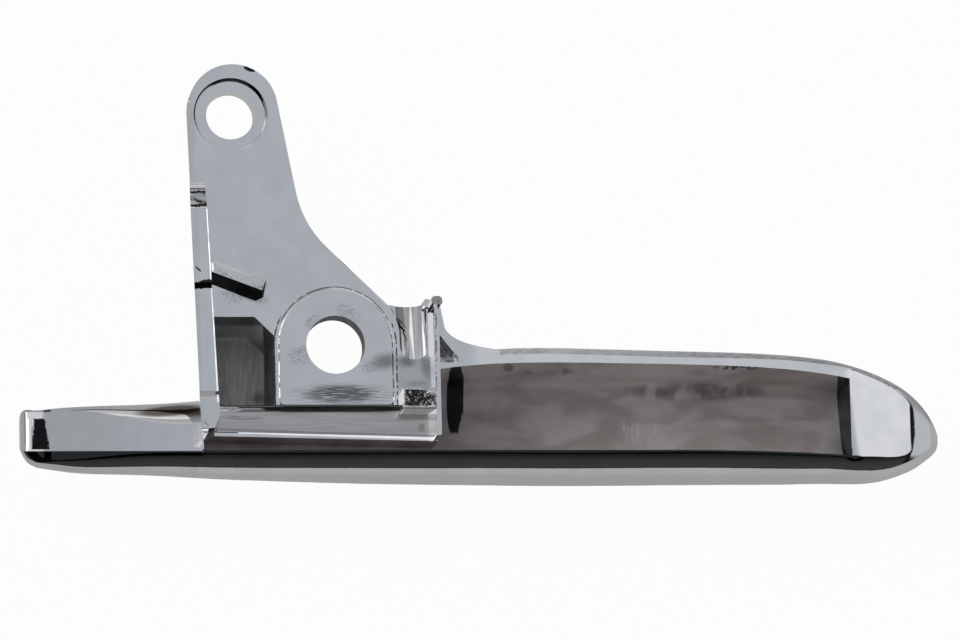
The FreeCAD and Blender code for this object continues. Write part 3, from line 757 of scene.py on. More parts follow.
        foot = nodes.product(
            nodes.span(beyond, -0.2, -0.4),
            nodes.band(x, -21.6, -19.2),
            nodes.band(y, -15.2, -13.4),
            nodes.span(z, -2.2, -2.0),
        )
        return self.wing_end(nodes, place, plan, nodes.tilted(normal, foot, (-1.2, 0.9, 0.0)))

    def wing_end(
        self,
        nodes: Nodes,
        place: bpy.types.NodeSocket,
        plan: bpy.types.NodeSocket,
        normal: bpy.types.NodeSocket,
    ) -> bpy.types.NodeSocket:
        """Crowned rim at the wing's end, whose normal turns with x from the left to upward.

        The x part of the normal is the lean at each place, and its z part is
        sqrt(1 - lean lean). The ramp holds (n + 1) / 2, and a dark and a white margin
        stand for what the real rim mirrors.

        Args:
            nodes: Node helper of the material.
            place: Coordinates in millimetres.
            plan: Coordinates in plan.
            normal: Normal before.

        Returns:
            The normal.
        """
        x, y, z = nodes.split(place)
        up = nodes.split(plan)[1]
        ragged = nodes.math(
            "MULTIPLY",
            nodes.math("SUBTRACT", nodes.noise(place, 2.2, 4.0), 0.5),
            nodes.span(x, -46.9, -46.3, 0.0, 0.9),
        )
        width = nodes.span(up, -16.6, -11.6, 1.30, 0.78)
        centred = nodes.math("ADD", nodes.math("ADD", x, self.end_middle), ragged)
        centred = nodes.math("DIVIDE", centred, width)
        right = nodes.span(x, -46.6, -46.3)
        use = nodes.math(
            "ADD",
            nodes.math(
                "MULTIPLY",
                nodes.math("ADD", x, self.end_middle),
                nodes.math("SUBTRACT", 1.0, right),
            ),
            nodes.math("MULTIPLY", centred, right),
        )
        code = nodes.ramp(
            nodes.math("DIVIDE", use, self.end_reach),
            [
                (
                    (place_x + self.end_middle) / self.end_reach,
                    (0.5 + 0.5 * lean, 0.5, 0.5 + 0.5 * (1.0 - lean * lean) ** 0.5),
                )
                for place_x, lean in (
                    (-48.15, -1.0),
                    (-47.95, -0.93),
                    (-47.5, -0.78),
                    (-47.42, -0.73),
                    (-47.3, -0.55),
                    (-46.95, -0.28),
                    (-46.7, -0.18),
                    (-46.45, 0.09),
                    (-46.2, 0.15),
                    (-44.4, 0.17),
                    (-44.0, 0.10),
                    (-43.6, 0.0),
                    (-42.4, 0.0),
                )
            ],
        )
        torn = nodes.math("ADD", up, nodes.math("MULTIPLY", ragged, 0.6))
        margin = nodes.math(
            "MAXIMUM", nodes.span(torn, -11.5, -11.25), nodes.span(up, -16.12, -16.24)
        )
        code = nodes.mix(nodes.product(margin, nodes.span(x, -46.7, -46.5)), code, (0.5, 0.5, 1.0))
        margin = nodes.product(margin, nodes.span(x, -44.2, -45.4), nodes.span(x, -47.3, -47.1))
        code = nodes.mix(margin, code, (0.42, 0.5, 0.99))
        turn = nodes.tree.nodes.new("ShaderNodeVectorMath")
        turn.operation = "MULTIPLY_ADD"
        nodes.link(code, turn.inputs[0])
        turn.inputs[1].default_value = (2.0, 2.0, 2.0)
        turn.inputs[2].default_value = (-1.0, -1.0, -1.0)
        zone = nodes.product(
            nodes.span(x, -42.6, -43.0),
            nodes.band(up, -16.45, -10.45, 0.1),
            nodes.span(z, -3.2, -2.9),
        )
        blend = nodes.tree.nodes.new("ShaderNodeMix")
        blend.data_type = "VECTOR"
        nodes.link(zone, blend.inputs["Factor"])
        nodes.link(normal, blend.inputs[4])
        nodes.link(turn.outputs[0], blend.inputs[5])
        unit = nodes.tree.nodes.new("ShaderNodeVectorMath")
        unit.operation = "NORMALIZE"
        nodes.link(blend.outputs[1], unit.inputs[0])
        return unit.outputs[0]

    def build(self) -> bpy.types.Material:
        """Makes the material.

        Returns:
            The finished material.
        """
        material, nodes, shader = new_material(self.name)
        place = nodes.millimetres()
        plan = nodes.sheared(place)
        shader.inputs["Metallic"].default_value = 1.0
        cloud = nodes.noise(place, 0.16, 3.0, 0.6)
        clean = nodes.mix(
            nodes.span(cloud, 0.35, 0.65), tuple(0.94 * c for c in self.colour), self.colour
        )
        # Painted reflections: darker where the real plating mirrors dark things.
        clean = nodes.mix(self.painted_dark_reflection(nodes, place, plan), clean, self.stain_shade_and_reflection)
        # Painted reflection: dark brown band along the wing's rear slope.
        brown = nodes.patch(plan, (-25.2, -10.25, 0.0), (6.6, 1.0, 1.0), 4.6, 0.55)
        brown = nodes.product(
            brown,
            nodes.span(nodes.split(place)[2], -2.41, -2.45),
            nodes.span(nodes.facing(2), 0.05, 0.2),
            0.9,
        )
        clean = nodes.mix(brown, clean, self.brown)
        # Real smudges, streaks and hair lines, and painted shade under the rib.
        clean = nodes.mix(
            nodes.math("MULTIPLY", self.stains_and_rib_shade(nodes, place), 0.85), clean, self.stain_shade_and_reflection
        )
        # Painted reflections and painted shade as dark lines and strips, and the nicks.
        nodes.put(
            shader.inputs["Base Color"],
            nodes.mix(self.edges(nodes, place, plan), clean, self.black),
        )
        grain = nodes.noise(nodes.moved(place, size=(3.0, 0.5, 0.5), turn=24.0), 1.0, 5.0)
        nodes.put(shader.inputs["Roughness"], nodes.span(grain, 0.35, 0.75, 0.03, 0.10))
        wave = nodes.noise(place, 0.22, 1.0)
        scratch = nodes.noise(nodes.moved(place, size=(5.0, 0.16, 0.16), turn=62.0), 1.0, 3.0)
        soft = nodes.bump(wave, self.wave_depth)
        normal = nodes.bump(nodes.span(scratch, 0.69, 0.75), self.scratch_depth, soft)
        nodes.put(shader.inputs["Normal"], self.leaning(nodes, place, plan, normal))
        return material


@dataclass(frozen=True)
class DullPlating:
    """Thin brownish plating in the hollow grip, clouded, scuffed, with painted light and shade."""

    name: str = "thin_plating"
    light: tuple[float, float, float] = (0.65, 0.61, 0.60)
    dark: tuple[float, float, float] = (0.46, 0.415, 0.41)
    # Pale of the painted light on the rear wall.
    pale: tuple[float, float, float] = (0.95, 0.92, 0.91)
    shade: tuple[float, float, float] = (0.01, 0.01, 0.01)
    end_shade: tuple[float, float, float] = (0.02, 0.024, 0.036)
    scuff: tuple[float, float, float] = (0.95, 0.95, 0.96)

    def clouds(self, nodes: Nodes, plan: bpy.types.NodeSocket) -> bpy.types.NodeSocket:
        """Cloudy ground, with painted light on the rear wall and a row of painted dark
        reflections.

        Args:
            nodes: Node helper of the material.
            plan: Coordinates in plan.

        Returns:
            The colour.
        """
        cloud = nodes.noise(nodes.moved(plan, size=(9.0, 3.6, 1.0)), 1.0, 2.0, 0.5)
        colour = nodes.mix(nodes.span(cloud, 0.36, 0.64), self.dark, self.light)
        # Painted light: the rear wall is paler.
        rear_wall_light = nodes.span(nodes.split(plan)[1], -8.6, -4.6)
        colour = nodes.mix(
            rear_wall_light, colour, nodes.mix(nodes.span(cloud, 0.3, 0.6), self.light, self.pale)
        )
        # Painted reflections: a row of dark patches along the pocket.
        reflection_patches = nodes.noise(nodes.moved(plan, size=(3.4, 5.0, 1.0)), 1.0, 3.0)
        for centre, size, start in (
            ((56.0, -7.5, 0.0), (14.5, 1.9, 1.0), 0.40),
            ((26.5, -3.6, 0.0), (1.1, 0.9, 1.0), 0.20),
            ((33.0, -4.2, 0.0), (5.0, 0.9, 1.0), 0.48),
        ):
            dim = nodes.math(
                "MULTIPLY",
                nodes.span(reflection_patches, start, start + 0.14),
                nodes.patch(plan, centre, size, 0.0, 0.45),
            )
            colour = nodes.mix(
                nodes.math("MULTIPLY", dim, 0.62), colour, tuple(0.3 * c for c in self.dark)
            )
        # Ragged dark marks along the rear rim.
        rim_marks = nodes.noise(nodes.moved(plan, size=(1.0, 0.6, 1.0)), 1.0, 3.0)
        rim_marks = nodes.product(
            nodes.span(rim_marks, 0.44, 0.52),
            nodes.patch(plan, (62.2, -3.55, 0.0), (5.0, 0.6, 1.0), 0.0, 0.5),
        )
        return nodes.mix(nodes.math("MULTIPLY", rim_marks, 0.85), colour, self.shade)

    def marks(
        self, nodes: Nodes, plan: bpy.types.NodeSocket, colour: bpy.types.NodeSocket
    ) -> bpy.types.NodeSocket:
        """Painted dark reflection at the left, painted shade on the end wall, pale scuffs and
        specks.

        Args:
            nodes: Node helper of the material.
            plan: Coordinates in plan.
            colour: Ground colour.

        Returns:
            The marked colour.
        """
        ragged = nodes.noise(nodes.moved(plan, size=(0.3, 4.0, 1.0)), 1.0, 3.0)
        wobble = nodes.math("MULTIPLY", nodes.math("SUBTRACT", ragged, 0.5), 0.9)
        # Painted shade: faintly darker in the slot, below x 16.
        colour = nodes.mix(
            nodes.span(nodes.split(plan)[0], 16.2, 12.0, 0.0, 0.04), colour, self.shade
        )
        # Painted reflection: dark upright streak at the left.
        lens = nodes.patch(plan, (18.3, -8.2, 0.0), (1.75, 7.4, 1.0), -2.0, 0.4)
        colour = nodes.mix(
            nodes.span(nodes.math("ADD", lens, wobble), 0.22, 0.42), colour, self.shade
        )
        # Painted shade on the end wall.
        end = nodes.span(
            nodes.math(
                "ADD", nodes.split(plan)[0], nodes.math("MULTIPLY", nodes.split(plan)[1], 0.075)
            ),
            77.0,
            77.2,
        )
        colour = nodes.mix(end, colour, self.end_shade)
        stroke = nodes.noise(nodes.moved(plan, size=(0.45, 3.2, 1.0), turn=-6.0), 1.0, 3.0)
        rub = nodes.patch(plan, (46.6, -13.6, 0.0), (5.5, 3.0, 1.0), 0.0, 0.1)
        rub = nodes.math(
            "MULTIPLY", nodes.math("MULTIPLY", nodes.span(stroke, 0.5, 0.66), rub), 0.55
        )
        speck = nodes.span(nodes.noise(plan, 2.6, 1.0), 0.76, 0.78)
        return nodes.mix(
            nodes.math("MAXIMUM", rub, nodes.math("MULTIPLY", speck, 0.6)), colour, self.scuff
        )

    def build(self) -> bpy.types.Material:
        """Makes the material.

        Returns:
            The finished material.
        """
        material, nodes, shader = new_material(self.name)
        plan = nodes.sheared(nodes.millimetres())
        shader.inputs["Metallic"].default_value = 0.3
        nodes.put(shader.inputs["Base Color"], self.marks(nodes, plan, self.clouds(nodes, plan)))
        haze = nodes.noise(plan, 0.3, 2.0)
        nodes.put(shader.inputs["Roughness"], nodes.span(haze, 0.3, 0.7, 0.38, 0.55))
        nodes.put(shader.inputs["Normal"], nodes.bump(haze, 0.1))
        return material


@dataclass(frozen=True)
class WindowPlating:
    """Dull plating of the deep window, wavy upright streaks, painted light and painted shade."""

    name: str = "window_plating"
    light: tuple[float, float, float] = (0.62, 0.61, 0.61)
    dark: tuple[float, float, float] = (0.42, 0.41, 0.42)
    # Pale of the painted light on the rear part.
    pale: tuple[float, float, float] = (0.95, 0.95, 0.95)
    shade: tuple[float, float, float] = (0.12, 0.12, 0.14)

    def build(self) -> bpy.types.Material:
        """Makes the material.

        Returns:
            The finished material.
        """
        material, nodes, shader = new_material(self.name)
        plan = nodes.sheared(nodes.millimetres())
        shader.inputs["Metallic"].default_value = 0.3
        streak = nodes.noise(nodes.moved(plan, size=(0.9, 6.0, 1.0)), 1.0, 3.0, 0.8)
        colour = nodes.mix(nodes.span(streak, 0.38, 0.62), self.dark, self.light)
        x, y, _ = nodes.split(plan)
        # Painted light: the rear part is paler.
        colour = nodes.mix(nodes.span(y, -0.2, 1.6), colour, self.pale)
        # Painted shade: dark spot in the corner by the right wall.
        spot = nodes.patch(plan, (-12.1, -8.4, 0.0), (1.6, 1.5, 1.0), 0.0, 0.1)
        colour = nodes.mix(nodes.math("MULTIPLY", spot, 0.8), colour, self.shade)
        # Painted shade along the top edge.
        colour = nodes.mix(
            nodes.product(nodes.band(y, 3.3, 5.0, 0.7), nodes.span(x, -8.0, -8.4), 0.8),
            colour,
            self.shade,
        )
        # Painted shade on the right wall and in the bore.
        side = nodes.math("MULTIPLY", nodes.span(x, -11.3, -11.1), nodes.span(x, -8.0, -8.4))
        bore = nodes.patch(plan, (0.0, 0.0, 0.0), (5.8, 5.8, 1.0), 0.0, 0.98)
        nodes.put(
            shader.inputs["Base Color"],
            nodes.mix(nodes.math("MAXIMUM", side, bore), colour, self.shade),
        )
        nodes.put(shader.inputs["Roughness"], nodes.span(streak, 0.3, 0.7, 0.35, 0.5))
        nodes.put(shader.inputs["Normal"], nodes.bump(streak, 0.03))
        return material


@dataclass(frozen=True)
class ChannelPlating:
    """Slightly brown channel floor plating, with lengthwise streaks and painted shade at the lip.
    """

    name: str = "channel_plating"
    light: tuple[float, float, float] = (0.60, 0.585, 0.58)
    dark: tuple[float, float, float] = (0.36, 0.335, 0.34)

    def build(self) -> bpy.types.Material:
        """Makes the material.

        Returns:
            The finished material.
        """
        material, nodes, shader = new_material(self.name)
        place = nodes.millimetres()
        shader.inputs["Metallic"].default_value = 1.0
        streak = nodes.noise(nodes.moved(place, size=(7.0, 0.35, 1.0)), 1.0, 4.0, 0.3)
        worn = nodes.patch(place, (-13.6, -10.9, -2.6), (4.6, 0.9, 1.0), 0.0, 0.3)
        deep = nodes.math("MULTIPLY", nodes.span(streak, 0.44, 0.58), worn)
        colour = nodes.mix(
            nodes.span(streak, 0.30, 0.60), self.light, tuple(0.85 * c for c in self.light)
        )
        across, up, _ = nodes.split(nodes.sheared(place))
        # Painted shade: dark line along the foot of the lip.
        lip = nodes.math(
            "ADD", nodes.math("ADD", up, nodes.math("MULTIPLY", across, LIP_SLOPE)), LIP_DEPTH
        )
        deep = nodes.math("MAXIMUM", deep, nodes.product(nodes.band(lip, -0.3, 0.02), 0.9))
        pin = nodes.patch(place, (13.2, -12.45, -2.6), (0.66, 0.66, 1.0), 0.0, 0.8)
        deep = nodes.math("MAXIMUM", deep, nodes.product(pin, 0.8))
        nodes.put(shader.inputs["Base Color"], nodes.mix(deep, colour, self.dark))
        nodes.put(shader.inputs["Roughness"], nodes.span(streak, 0.3, 0.7, 0.10, 0.22))
        nodes.put(shader.inputs["Normal"], nodes.bump(streak, 0.004))
        return material


@dataclass(frozen=True)
class RoughChrome:
    """Plating over a torn surface, bumped; black specks and pale edges are painted reflections."""

    name: str = "rough_chrome"
    colour: tuple[float, float, float] = (0.86, 0.87, 0.89)
    shade: tuple[float, float, float] = (0.03, 0.03, 0.03)

    def build(self) -> bpy.types.Material:
        """Makes the material.

        Returns:
            The finished material.
        """
        material, nodes, shader = new_material(self.name)
        place = nodes.millimetres()
        shader.inputs["Metallic"].default_value = 1.0
        grain = nodes.noise(place, 2.6, 4.0, 1.4)
        corner = nodes.patch(place, (14.6, -7.3, 2.5), (2.0, 1.3, 1.5), -20.0, 0.4)
        x, y, _ = nodes.split(place)
        # Painted reflections: black specks, denser at the left.
        limit = nodes.math("SUBTRACT", grain, nodes.span(x, 12.8, 13.8, 0.07, 0.0))
        tone = nodes.math(
            "MAXIMUM", nodes.span(limit, 0.50, 0.56), nodes.math("MULTIPLY", corner, 0.8)
        )
        # Painted highlights along the block's edges; it is also paler at one corner.
        edge = nodes.math(
            "MAXIMUM",
            nodes.span(x, 10.25, 10.1),
            nodes.math("MAXIMUM", nodes.span(y, -7.5, -7.35), nodes.span(y, -9.85, -10.0)),
        )
        tone = nodes.math("MAXIMUM", tone, nodes.math("MULTIPLY", edge, 0.8))
        nodes.put(shader.inputs["Base Color"], nodes.mix(tone, self.shade, self.colour))
        shader.inputs["Roughness"].default_value = 0.12
        nodes.put(shader.inputs["Normal"], nodes.bump(grain, 0.25))
        return material


@dataclass(frozen=True)
class MatteGate:
    """Matte grey stub of the cap, where the plating is rough."""

    name: str = "matte_gate"
    light: tuple[float, float, float] = (0.50, 0.50, 0.51)
    dark: tuple[float, float, float] = (0.34, 0.34, 0.35)

    def build(self) -> bpy.types.Material:
        """Makes the material.

        Returns:
            The finished material.
        """
        material, nodes, shader = new_material(self.name)
        place = nodes.millimetres()
        shader.inputs["Metallic"].default_value = 0.4
        shader.inputs["Roughness"].default_value = 0.5
        grain = nodes.noise(place, 2.5, 3.0)
        nodes.put(
            shader.inputs["Base Color"],
            nodes.mix(nodes.span(grain, 0.35, 0.65), self.dark, self.light),
        )
        nodes.put(shader.inputs["Normal"], nodes.bump(grain, 0.05))
        return material


@dataclass(frozen=True)
class Region:
    """Faces of the lever that take one finish: those in a box, in millimetres."""

    finish: Finish
    low: tuple[float, float, float]
    high: tuple[float, float, float]
    hollow: bool = False

    def holds(self, centres: np.ndarray, normals: np.ndarray) -> np.ndarray:
        """Finds the region's faces.

        In a hollow they look towards its middle line along x, and elsewhere they face up.

        Args:
            centres: Face centres in millimetres.
            normals: Face normals.

        Returns:
            One flag for each face.
        """
        low = np.array(self.low)
        high = np.array(self.high)
        inside = np.all((centres > low) & (centres < high), axis=1)
        if not self.hollow:
            return inside & (normals[:, 2] > UPWARD)
        middle = (low + high) / 2
        core = np.tile(middle, (len(centres), 1))
        reach = 0.4 * (high[0] - low[0])
        core[:, 0] = np.clip(centres[:, 0], middle[0] - reach, middle[0] + reach)
        return inside & (np.einsum("ij,ij->i", normals, core - centres) > 0)


def joined(count: int, first: np.ndarray, second: np.ndarray) -> np.ndarray:
    """Labels linked items alike: each takes the lowest number that its links reach.

    Args:
        count: Number of items.
        first: One end of each link.
        second: Other end of each link.

    Returns:
        The label of each item.
    """
    labels = np.arange(count)
    while True:
        before = labels.copy()
        lowest = np.minimum(labels[first], labels[second])
        np.minimum.at(labels, first, lowest)
        np.minimum.at(labels, second, lowest)
        labels = labels[labels]
        if np.array_equal(before, labels):
            return labels


@dataclass
class Skin:
    """Triangles of the lever, and the smooth normals fitted to them."""

    points: np.ndarray
    faces: np.ndarray
    crease_deg: float = 14.5
    flat_deg: float = 0.05
    flat_area: float = 6.0
    limit: float = 0.25

    def __post_init__(self) -> None:
        """Works out the face normals (cross product of two sides) and areas."""
        a, b, c = (self.points[self.faces[:, k]] for k in range(3))
        cross = np.cross(b - a, c - a)
        length = np.linalg.norm(cross, axis=1)
        self.area = length / 2
        self.normals = cross / np.maximum(length, 1e-12)[:, None]
        self.centres = (a + b + c) / 3

    def twins(self) -> np.ndarray:
        """Finds for each half edge the one that runs the other way in the next face.

        Returns:
            The number of the twin of each half edge.
        """
        starts = self.faces.reshape(-1).astype(np.int64)
        ends = np.roll(self.faces, -1, axis=1).reshape(-1).astype(np.int64)
        count = len(self.points)
        order = np.argsort(starts * count + ends)
        found = np.searchsorted((starts * count + ends)[order], ends * count + starts)
        return order[np.minimum(found, len(order) - 1)]

    def groups(self) -> tuple[np.ndarray, np.ndarray]:
        """Splits the corners round each point at sharp edges, and finds the flat areas.

        Returns:
            The smooth group of each corner, and the flat area that each face lies in.
        """
        twin = self.twins()
        half = np.arange(len(twin))
        turn = np.einsum("ij,ij->i", self.normals[half // 3], self.normals[twin // 3])
        smooth = half[turn > np.cos(np.radians(self.crease_deg))]
        following = twin[smooth] // 3 * 3 + (twin[smooth] + 1) % 3
        corner = joined(len(twin), smooth, following)
        group = np.unique(corner, return_inverse=True)[1].reshape(-1)
        level = half[turn > np.cos(np.radians(self.flat_deg))]
        sheet = joined(len(self.faces), level // 3, twin[level] // 3)
        return group, np.bincount(sheet, self.area, len(self.faces))[sheet]

    def rings(self, group: np.ndarray, flat: np.ndarray) -> tuple[np.ndarray, np.ndarray]:
        """Pairs each group with its neighbours, and with theirs where they aren't flat.

        Args:
            group: Smooth group of each corner.
            flat: Flag for each group that lies on a flat area.

        Returns:
            The groups, and the neighbour of each.
        """
        count = len(flat)
        corners = group.reshape(-1, 3)
        near = np.concatenate([corners[:, [0, 1]], corners[:, [1, 2]], corners[:, [2, 0]]])
        near = np.concatenate([near, near[:, ::-1]])
        keys = np.unique(near[:, 0] * count + near[:, 1])
        first, second = keys // count, keys % count
        start = np.searchsorted(first, np.arange(count + 1))
        open_pair = ~flat[second] & ~flat[first]
        one, two = first[open_pair], second[open_pair]
        many = start[two + 1] - start[two]
        steps = np.arange(many.sum()) - np.repeat(np.cumsum(many) - many, many)
        wide = np.repeat(one, many) * count + second[np.repeat(start[two], many) + steps]
        keys = np.unique(np.concatenate([keys, wide]))
        first, second = keys // count, keys % count
        keep = (first != second) & ~flat[first]
        return first[keep], second[keep]

    def corner_normals(self) -> np.ndarray:
        """Normals for each corner.

        On a flat area the normal is the area's own. Elsewhere a quadric surface, height =
        p u + q v + (r u u + 2 s u v + t v v) / 2 over the tangent plane, is fitted through
        the point to its neighbours by least squares, and the normal is the quadric's.

        Returns:
            One normal for each corner of each face.
        """
        group, sheet_area = self.groups()
        count = group.max() + 1
        face = np.repeat(np.arange(len(self.faces)), 3)
        mean = np.stack(
            [np.bincount(group, self.area[face] * self.normals[face, k], count) for k in range(3)],
            1,
        )
        mean /= np.maximum(np.linalg.norm(mean, axis=1, keepdims=True), 1e-12)
        order = np.argsort(sheet_area[face], kind="stable")
        widest = np.zeros(count)
        widest[group[order]] = sheet_area[face[order]]
        own = np.zeros((count, 3))
        own[group[order]] = self.normals[face[order]]
        flat = widest > self.flat_area
        place = np.zeros((count, 3))
        place[group] = self.points[self.faces.reshape(-1)]
        axis = np.eye(3)[np.argmin(np.abs(mean), axis=1)]
        across = np.cross(mean, axis)
        across /= np.linalg.norm(across, axis=1, keepdims=True)
        along = np.cross(mean, across)
        first, second = self.rings(group, flat)
        gap = place[second] - place[first]
        u, v, h = (
            np.einsum("ij,ij->i", gap, frame_axis[first]) for frame_axis in (across, along, mean)
        )
        terms = (u, v, u * u / 2, u * v, v * v / 2)
        weight = 1 / np.maximum(np.einsum("ij,ij->i", gap, gap), 1e-6)
        left = np.empty((count, 5, 5))
        right = np.empty((count, 5, 1))
        for i, one in enumerate(terms):
            right[:, i, 0] = np.bincount(first, weight * one * h, count)
            for j, two in enumerate(terms):
                left[:, i, j] = np.bincount(first, weight * one * two, count)
        left += np.eye(5) * (1e-5 * np.trace(left, axis1=1, axis2=2)[:, None, None] + 1e-9)
        slope = np.linalg.solve(left, right)[:, :2, 0]
        steep = np.linalg.norm(slope, axis=1) > self.limit
        few = np.bincount(first, minlength=count) < 6
        slope[steep | few] = 0
        fitted = mean - slope[:, :1] * across - slope[:, 1:] * along
        fitted /= np.linalg.norm(fitted, axis=1, keepdims=True)
        fitted[flat] = own[flat]
        return fitted[group]


@dataclass
class WingCorner:
    """Front corner of the wing's end, drawn out to the round outline it has in plan."""

    places: tuple[float, ...] = (-48.1, -47.9, -47.35, -46.9, -46.4, -45.7, -44.6, -43.1, -41.5)
    shifts: tuple[float, ...] = (1.5, 1.3, 0.5, 0.0, -0.36, -0.62, -0.34, -0.08, 0.0)
    start: float = -14.6
    full: float = -17.4

    def shape(self, points: np.ndarray) -> np.ndarray:
        """Moves the corner's points along y.

        The share t of the shift rises with -y from the start to the full place as
        t t (3 - 2 t).

        Args:
            points: Points in millimetres.

        Returns:
            The new points.
        """
        share = np.clip((points[:, 1] - self.start) / (self.full - self.start), 0.0, 1.0)
        share = share * share * (3.0 - 2.0 * share)
        result = points.copy()
        result[:, 1] += share * np.interp(points[:, 0], self.places, self.shifts, right=0.0)
        return result


@dataclass
class PlateEdge:
    """Top edge of the plate and the arm, which looks sharp: it has no rounded highlight."""

    low: tuple[float, float, float] = (-24.0, 7.5, -0.70)
    high: tuple[float, float, float] = (12.0, 45.0, -0.39)

    def sharpen(self, points: np.ndarray, normals: np.ndarray) -> np.ndarray:
        """Turns the edge's normals straight up or level, whichever is nearer.

        Args:
            points: Corner places in millimetres.
            normals: Corner normals.

        Returns:
            The new normals.
        """
        inside = np.all((points > np.array(self.low)) & (points < np.array(self.high)), axis=1)
        edge = inside & (normals[:, 2] > 0.02) & (normals[:, 2] < 0.999)
        steep = edge & (normals[:, 2] < 0.5)
        result = normals.copy()
        result[edge & ~steep] = (0.0, 0.0, 1.0)
        result[steep, 2] = 0.0
        return result / np.linalg.norm(result, axis=1, keepdims=True)


@dataclass
class Lever:
    """The one moulded piece, as a welded copy of the CAD node with smooth normals."""

    node: str = "handle_lever"
    weld: float = 0.002
    finishes: dict[Finish, object] = field(
        default_factory=lambda: {
            Finish.BRIGHT: BrightChrome(),
            Finish.DULL: DullPlating(),
            Finish.WINDOW: WindowPlating(),
            Finish.CHANNEL: ChannelPlating(),
            Finish.ROUGH: RoughChrome(),
            Finish.MATTE: MatteGate(),
        }
    )
    regions: tuple[Region, ...] = (
        Region(Finish.DULL, (15.6, -19.4, -17.6), (79.8, -2.3, -2.41), True),
        Region(Finish.DULL, (-20.4, -16.1, -8.6), (17.2, -13.2, -2.41), True),
        Region(Finish.WINDOW, (-19.0, -9.4, -14.0), (-9.2, 4.6, -0.6), True),
        Region(Finish.WINDOW, (-4.6, -4.6, -4.0), (4.6, 4.6, -0.3), True),
        Region(Finish.CHANNEL, (-19.0, -16.6, -2.8), (14.95, -9.5, -2.55)),
        Region(Finish.ROUGH, (9.9, -10.2, 2.4), (15.5, -7.2, 2.6)),
        Region(Finish.MATTE, (14.3, 5.6, 2.5), (16.4, 7.2, 2.7)),
    )

    def skin(self) -> Skin:
        """Copies the node's loose triangles and welds their shared corners.

        Returns:
            The welded triangles, in millimetres.
        """
        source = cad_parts[self.node].data
        points = np.empty(len(source.vertices) * 3, np.float32)
        source.vertices.foreach_get("co", points)
        points = points.reshape(-1, 3).astype(np.float64) / MM
        keys = np.round(points / self.weld).astype(np.int64)
        _, first, inverse = np.unique(keys, axis=0, return_index=True, return_inverse=True)
        corners = np.empty(len(source.polygons) * 3, np.int32)
        source.loops.foreach_get("vertex_index", corners)
        faces = inverse.reshape(-1)[corners].reshape(-1, 3)
        keep = np.all(faces != np.roll(faces, -1, axis=1), axis=1)
        return Skin(WingCorner().shape(points[first]), faces[keep])

    def build(self) -> bpy.types.Object:
        """Makes the dressed lever.

        Returns:
            The piece that stands for the CAD node.
        """
        skin = self.skin()
        mesh = bpy.data.meshes.new("lever_shell")
        mesh.from_pydata((skin.points * MM).tolist(), [], skin.faces.tolist())
        for finish in Finish:
            mesh.materials.append(self.finishes[finish].build())
        index = np.zeros(len(skin.faces), np.int32)
        for region in self.regions:
            index[region.holds(skin.centres, skin.normals)] = region.finish.value
        mesh.polygons.foreach_set("material_index", index)
        mesh.shade_smooth()
        normals = PlateEdge().sharpen(skin.points[skin.faces.reshape(-1)], skin.corner_normals())
        mesh.normals_split_custom_set(normals.tolist())
        mesh.update()
        piece = bpy.data.objects.new("lever_shell", mesh)
        bpy.context.scene.collection.objects.link(piece)
        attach(piece, "root")
        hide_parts(self.node)
        LOG.info("%s: %d faces", piece.name, len(mesh.polygons))
        return piece


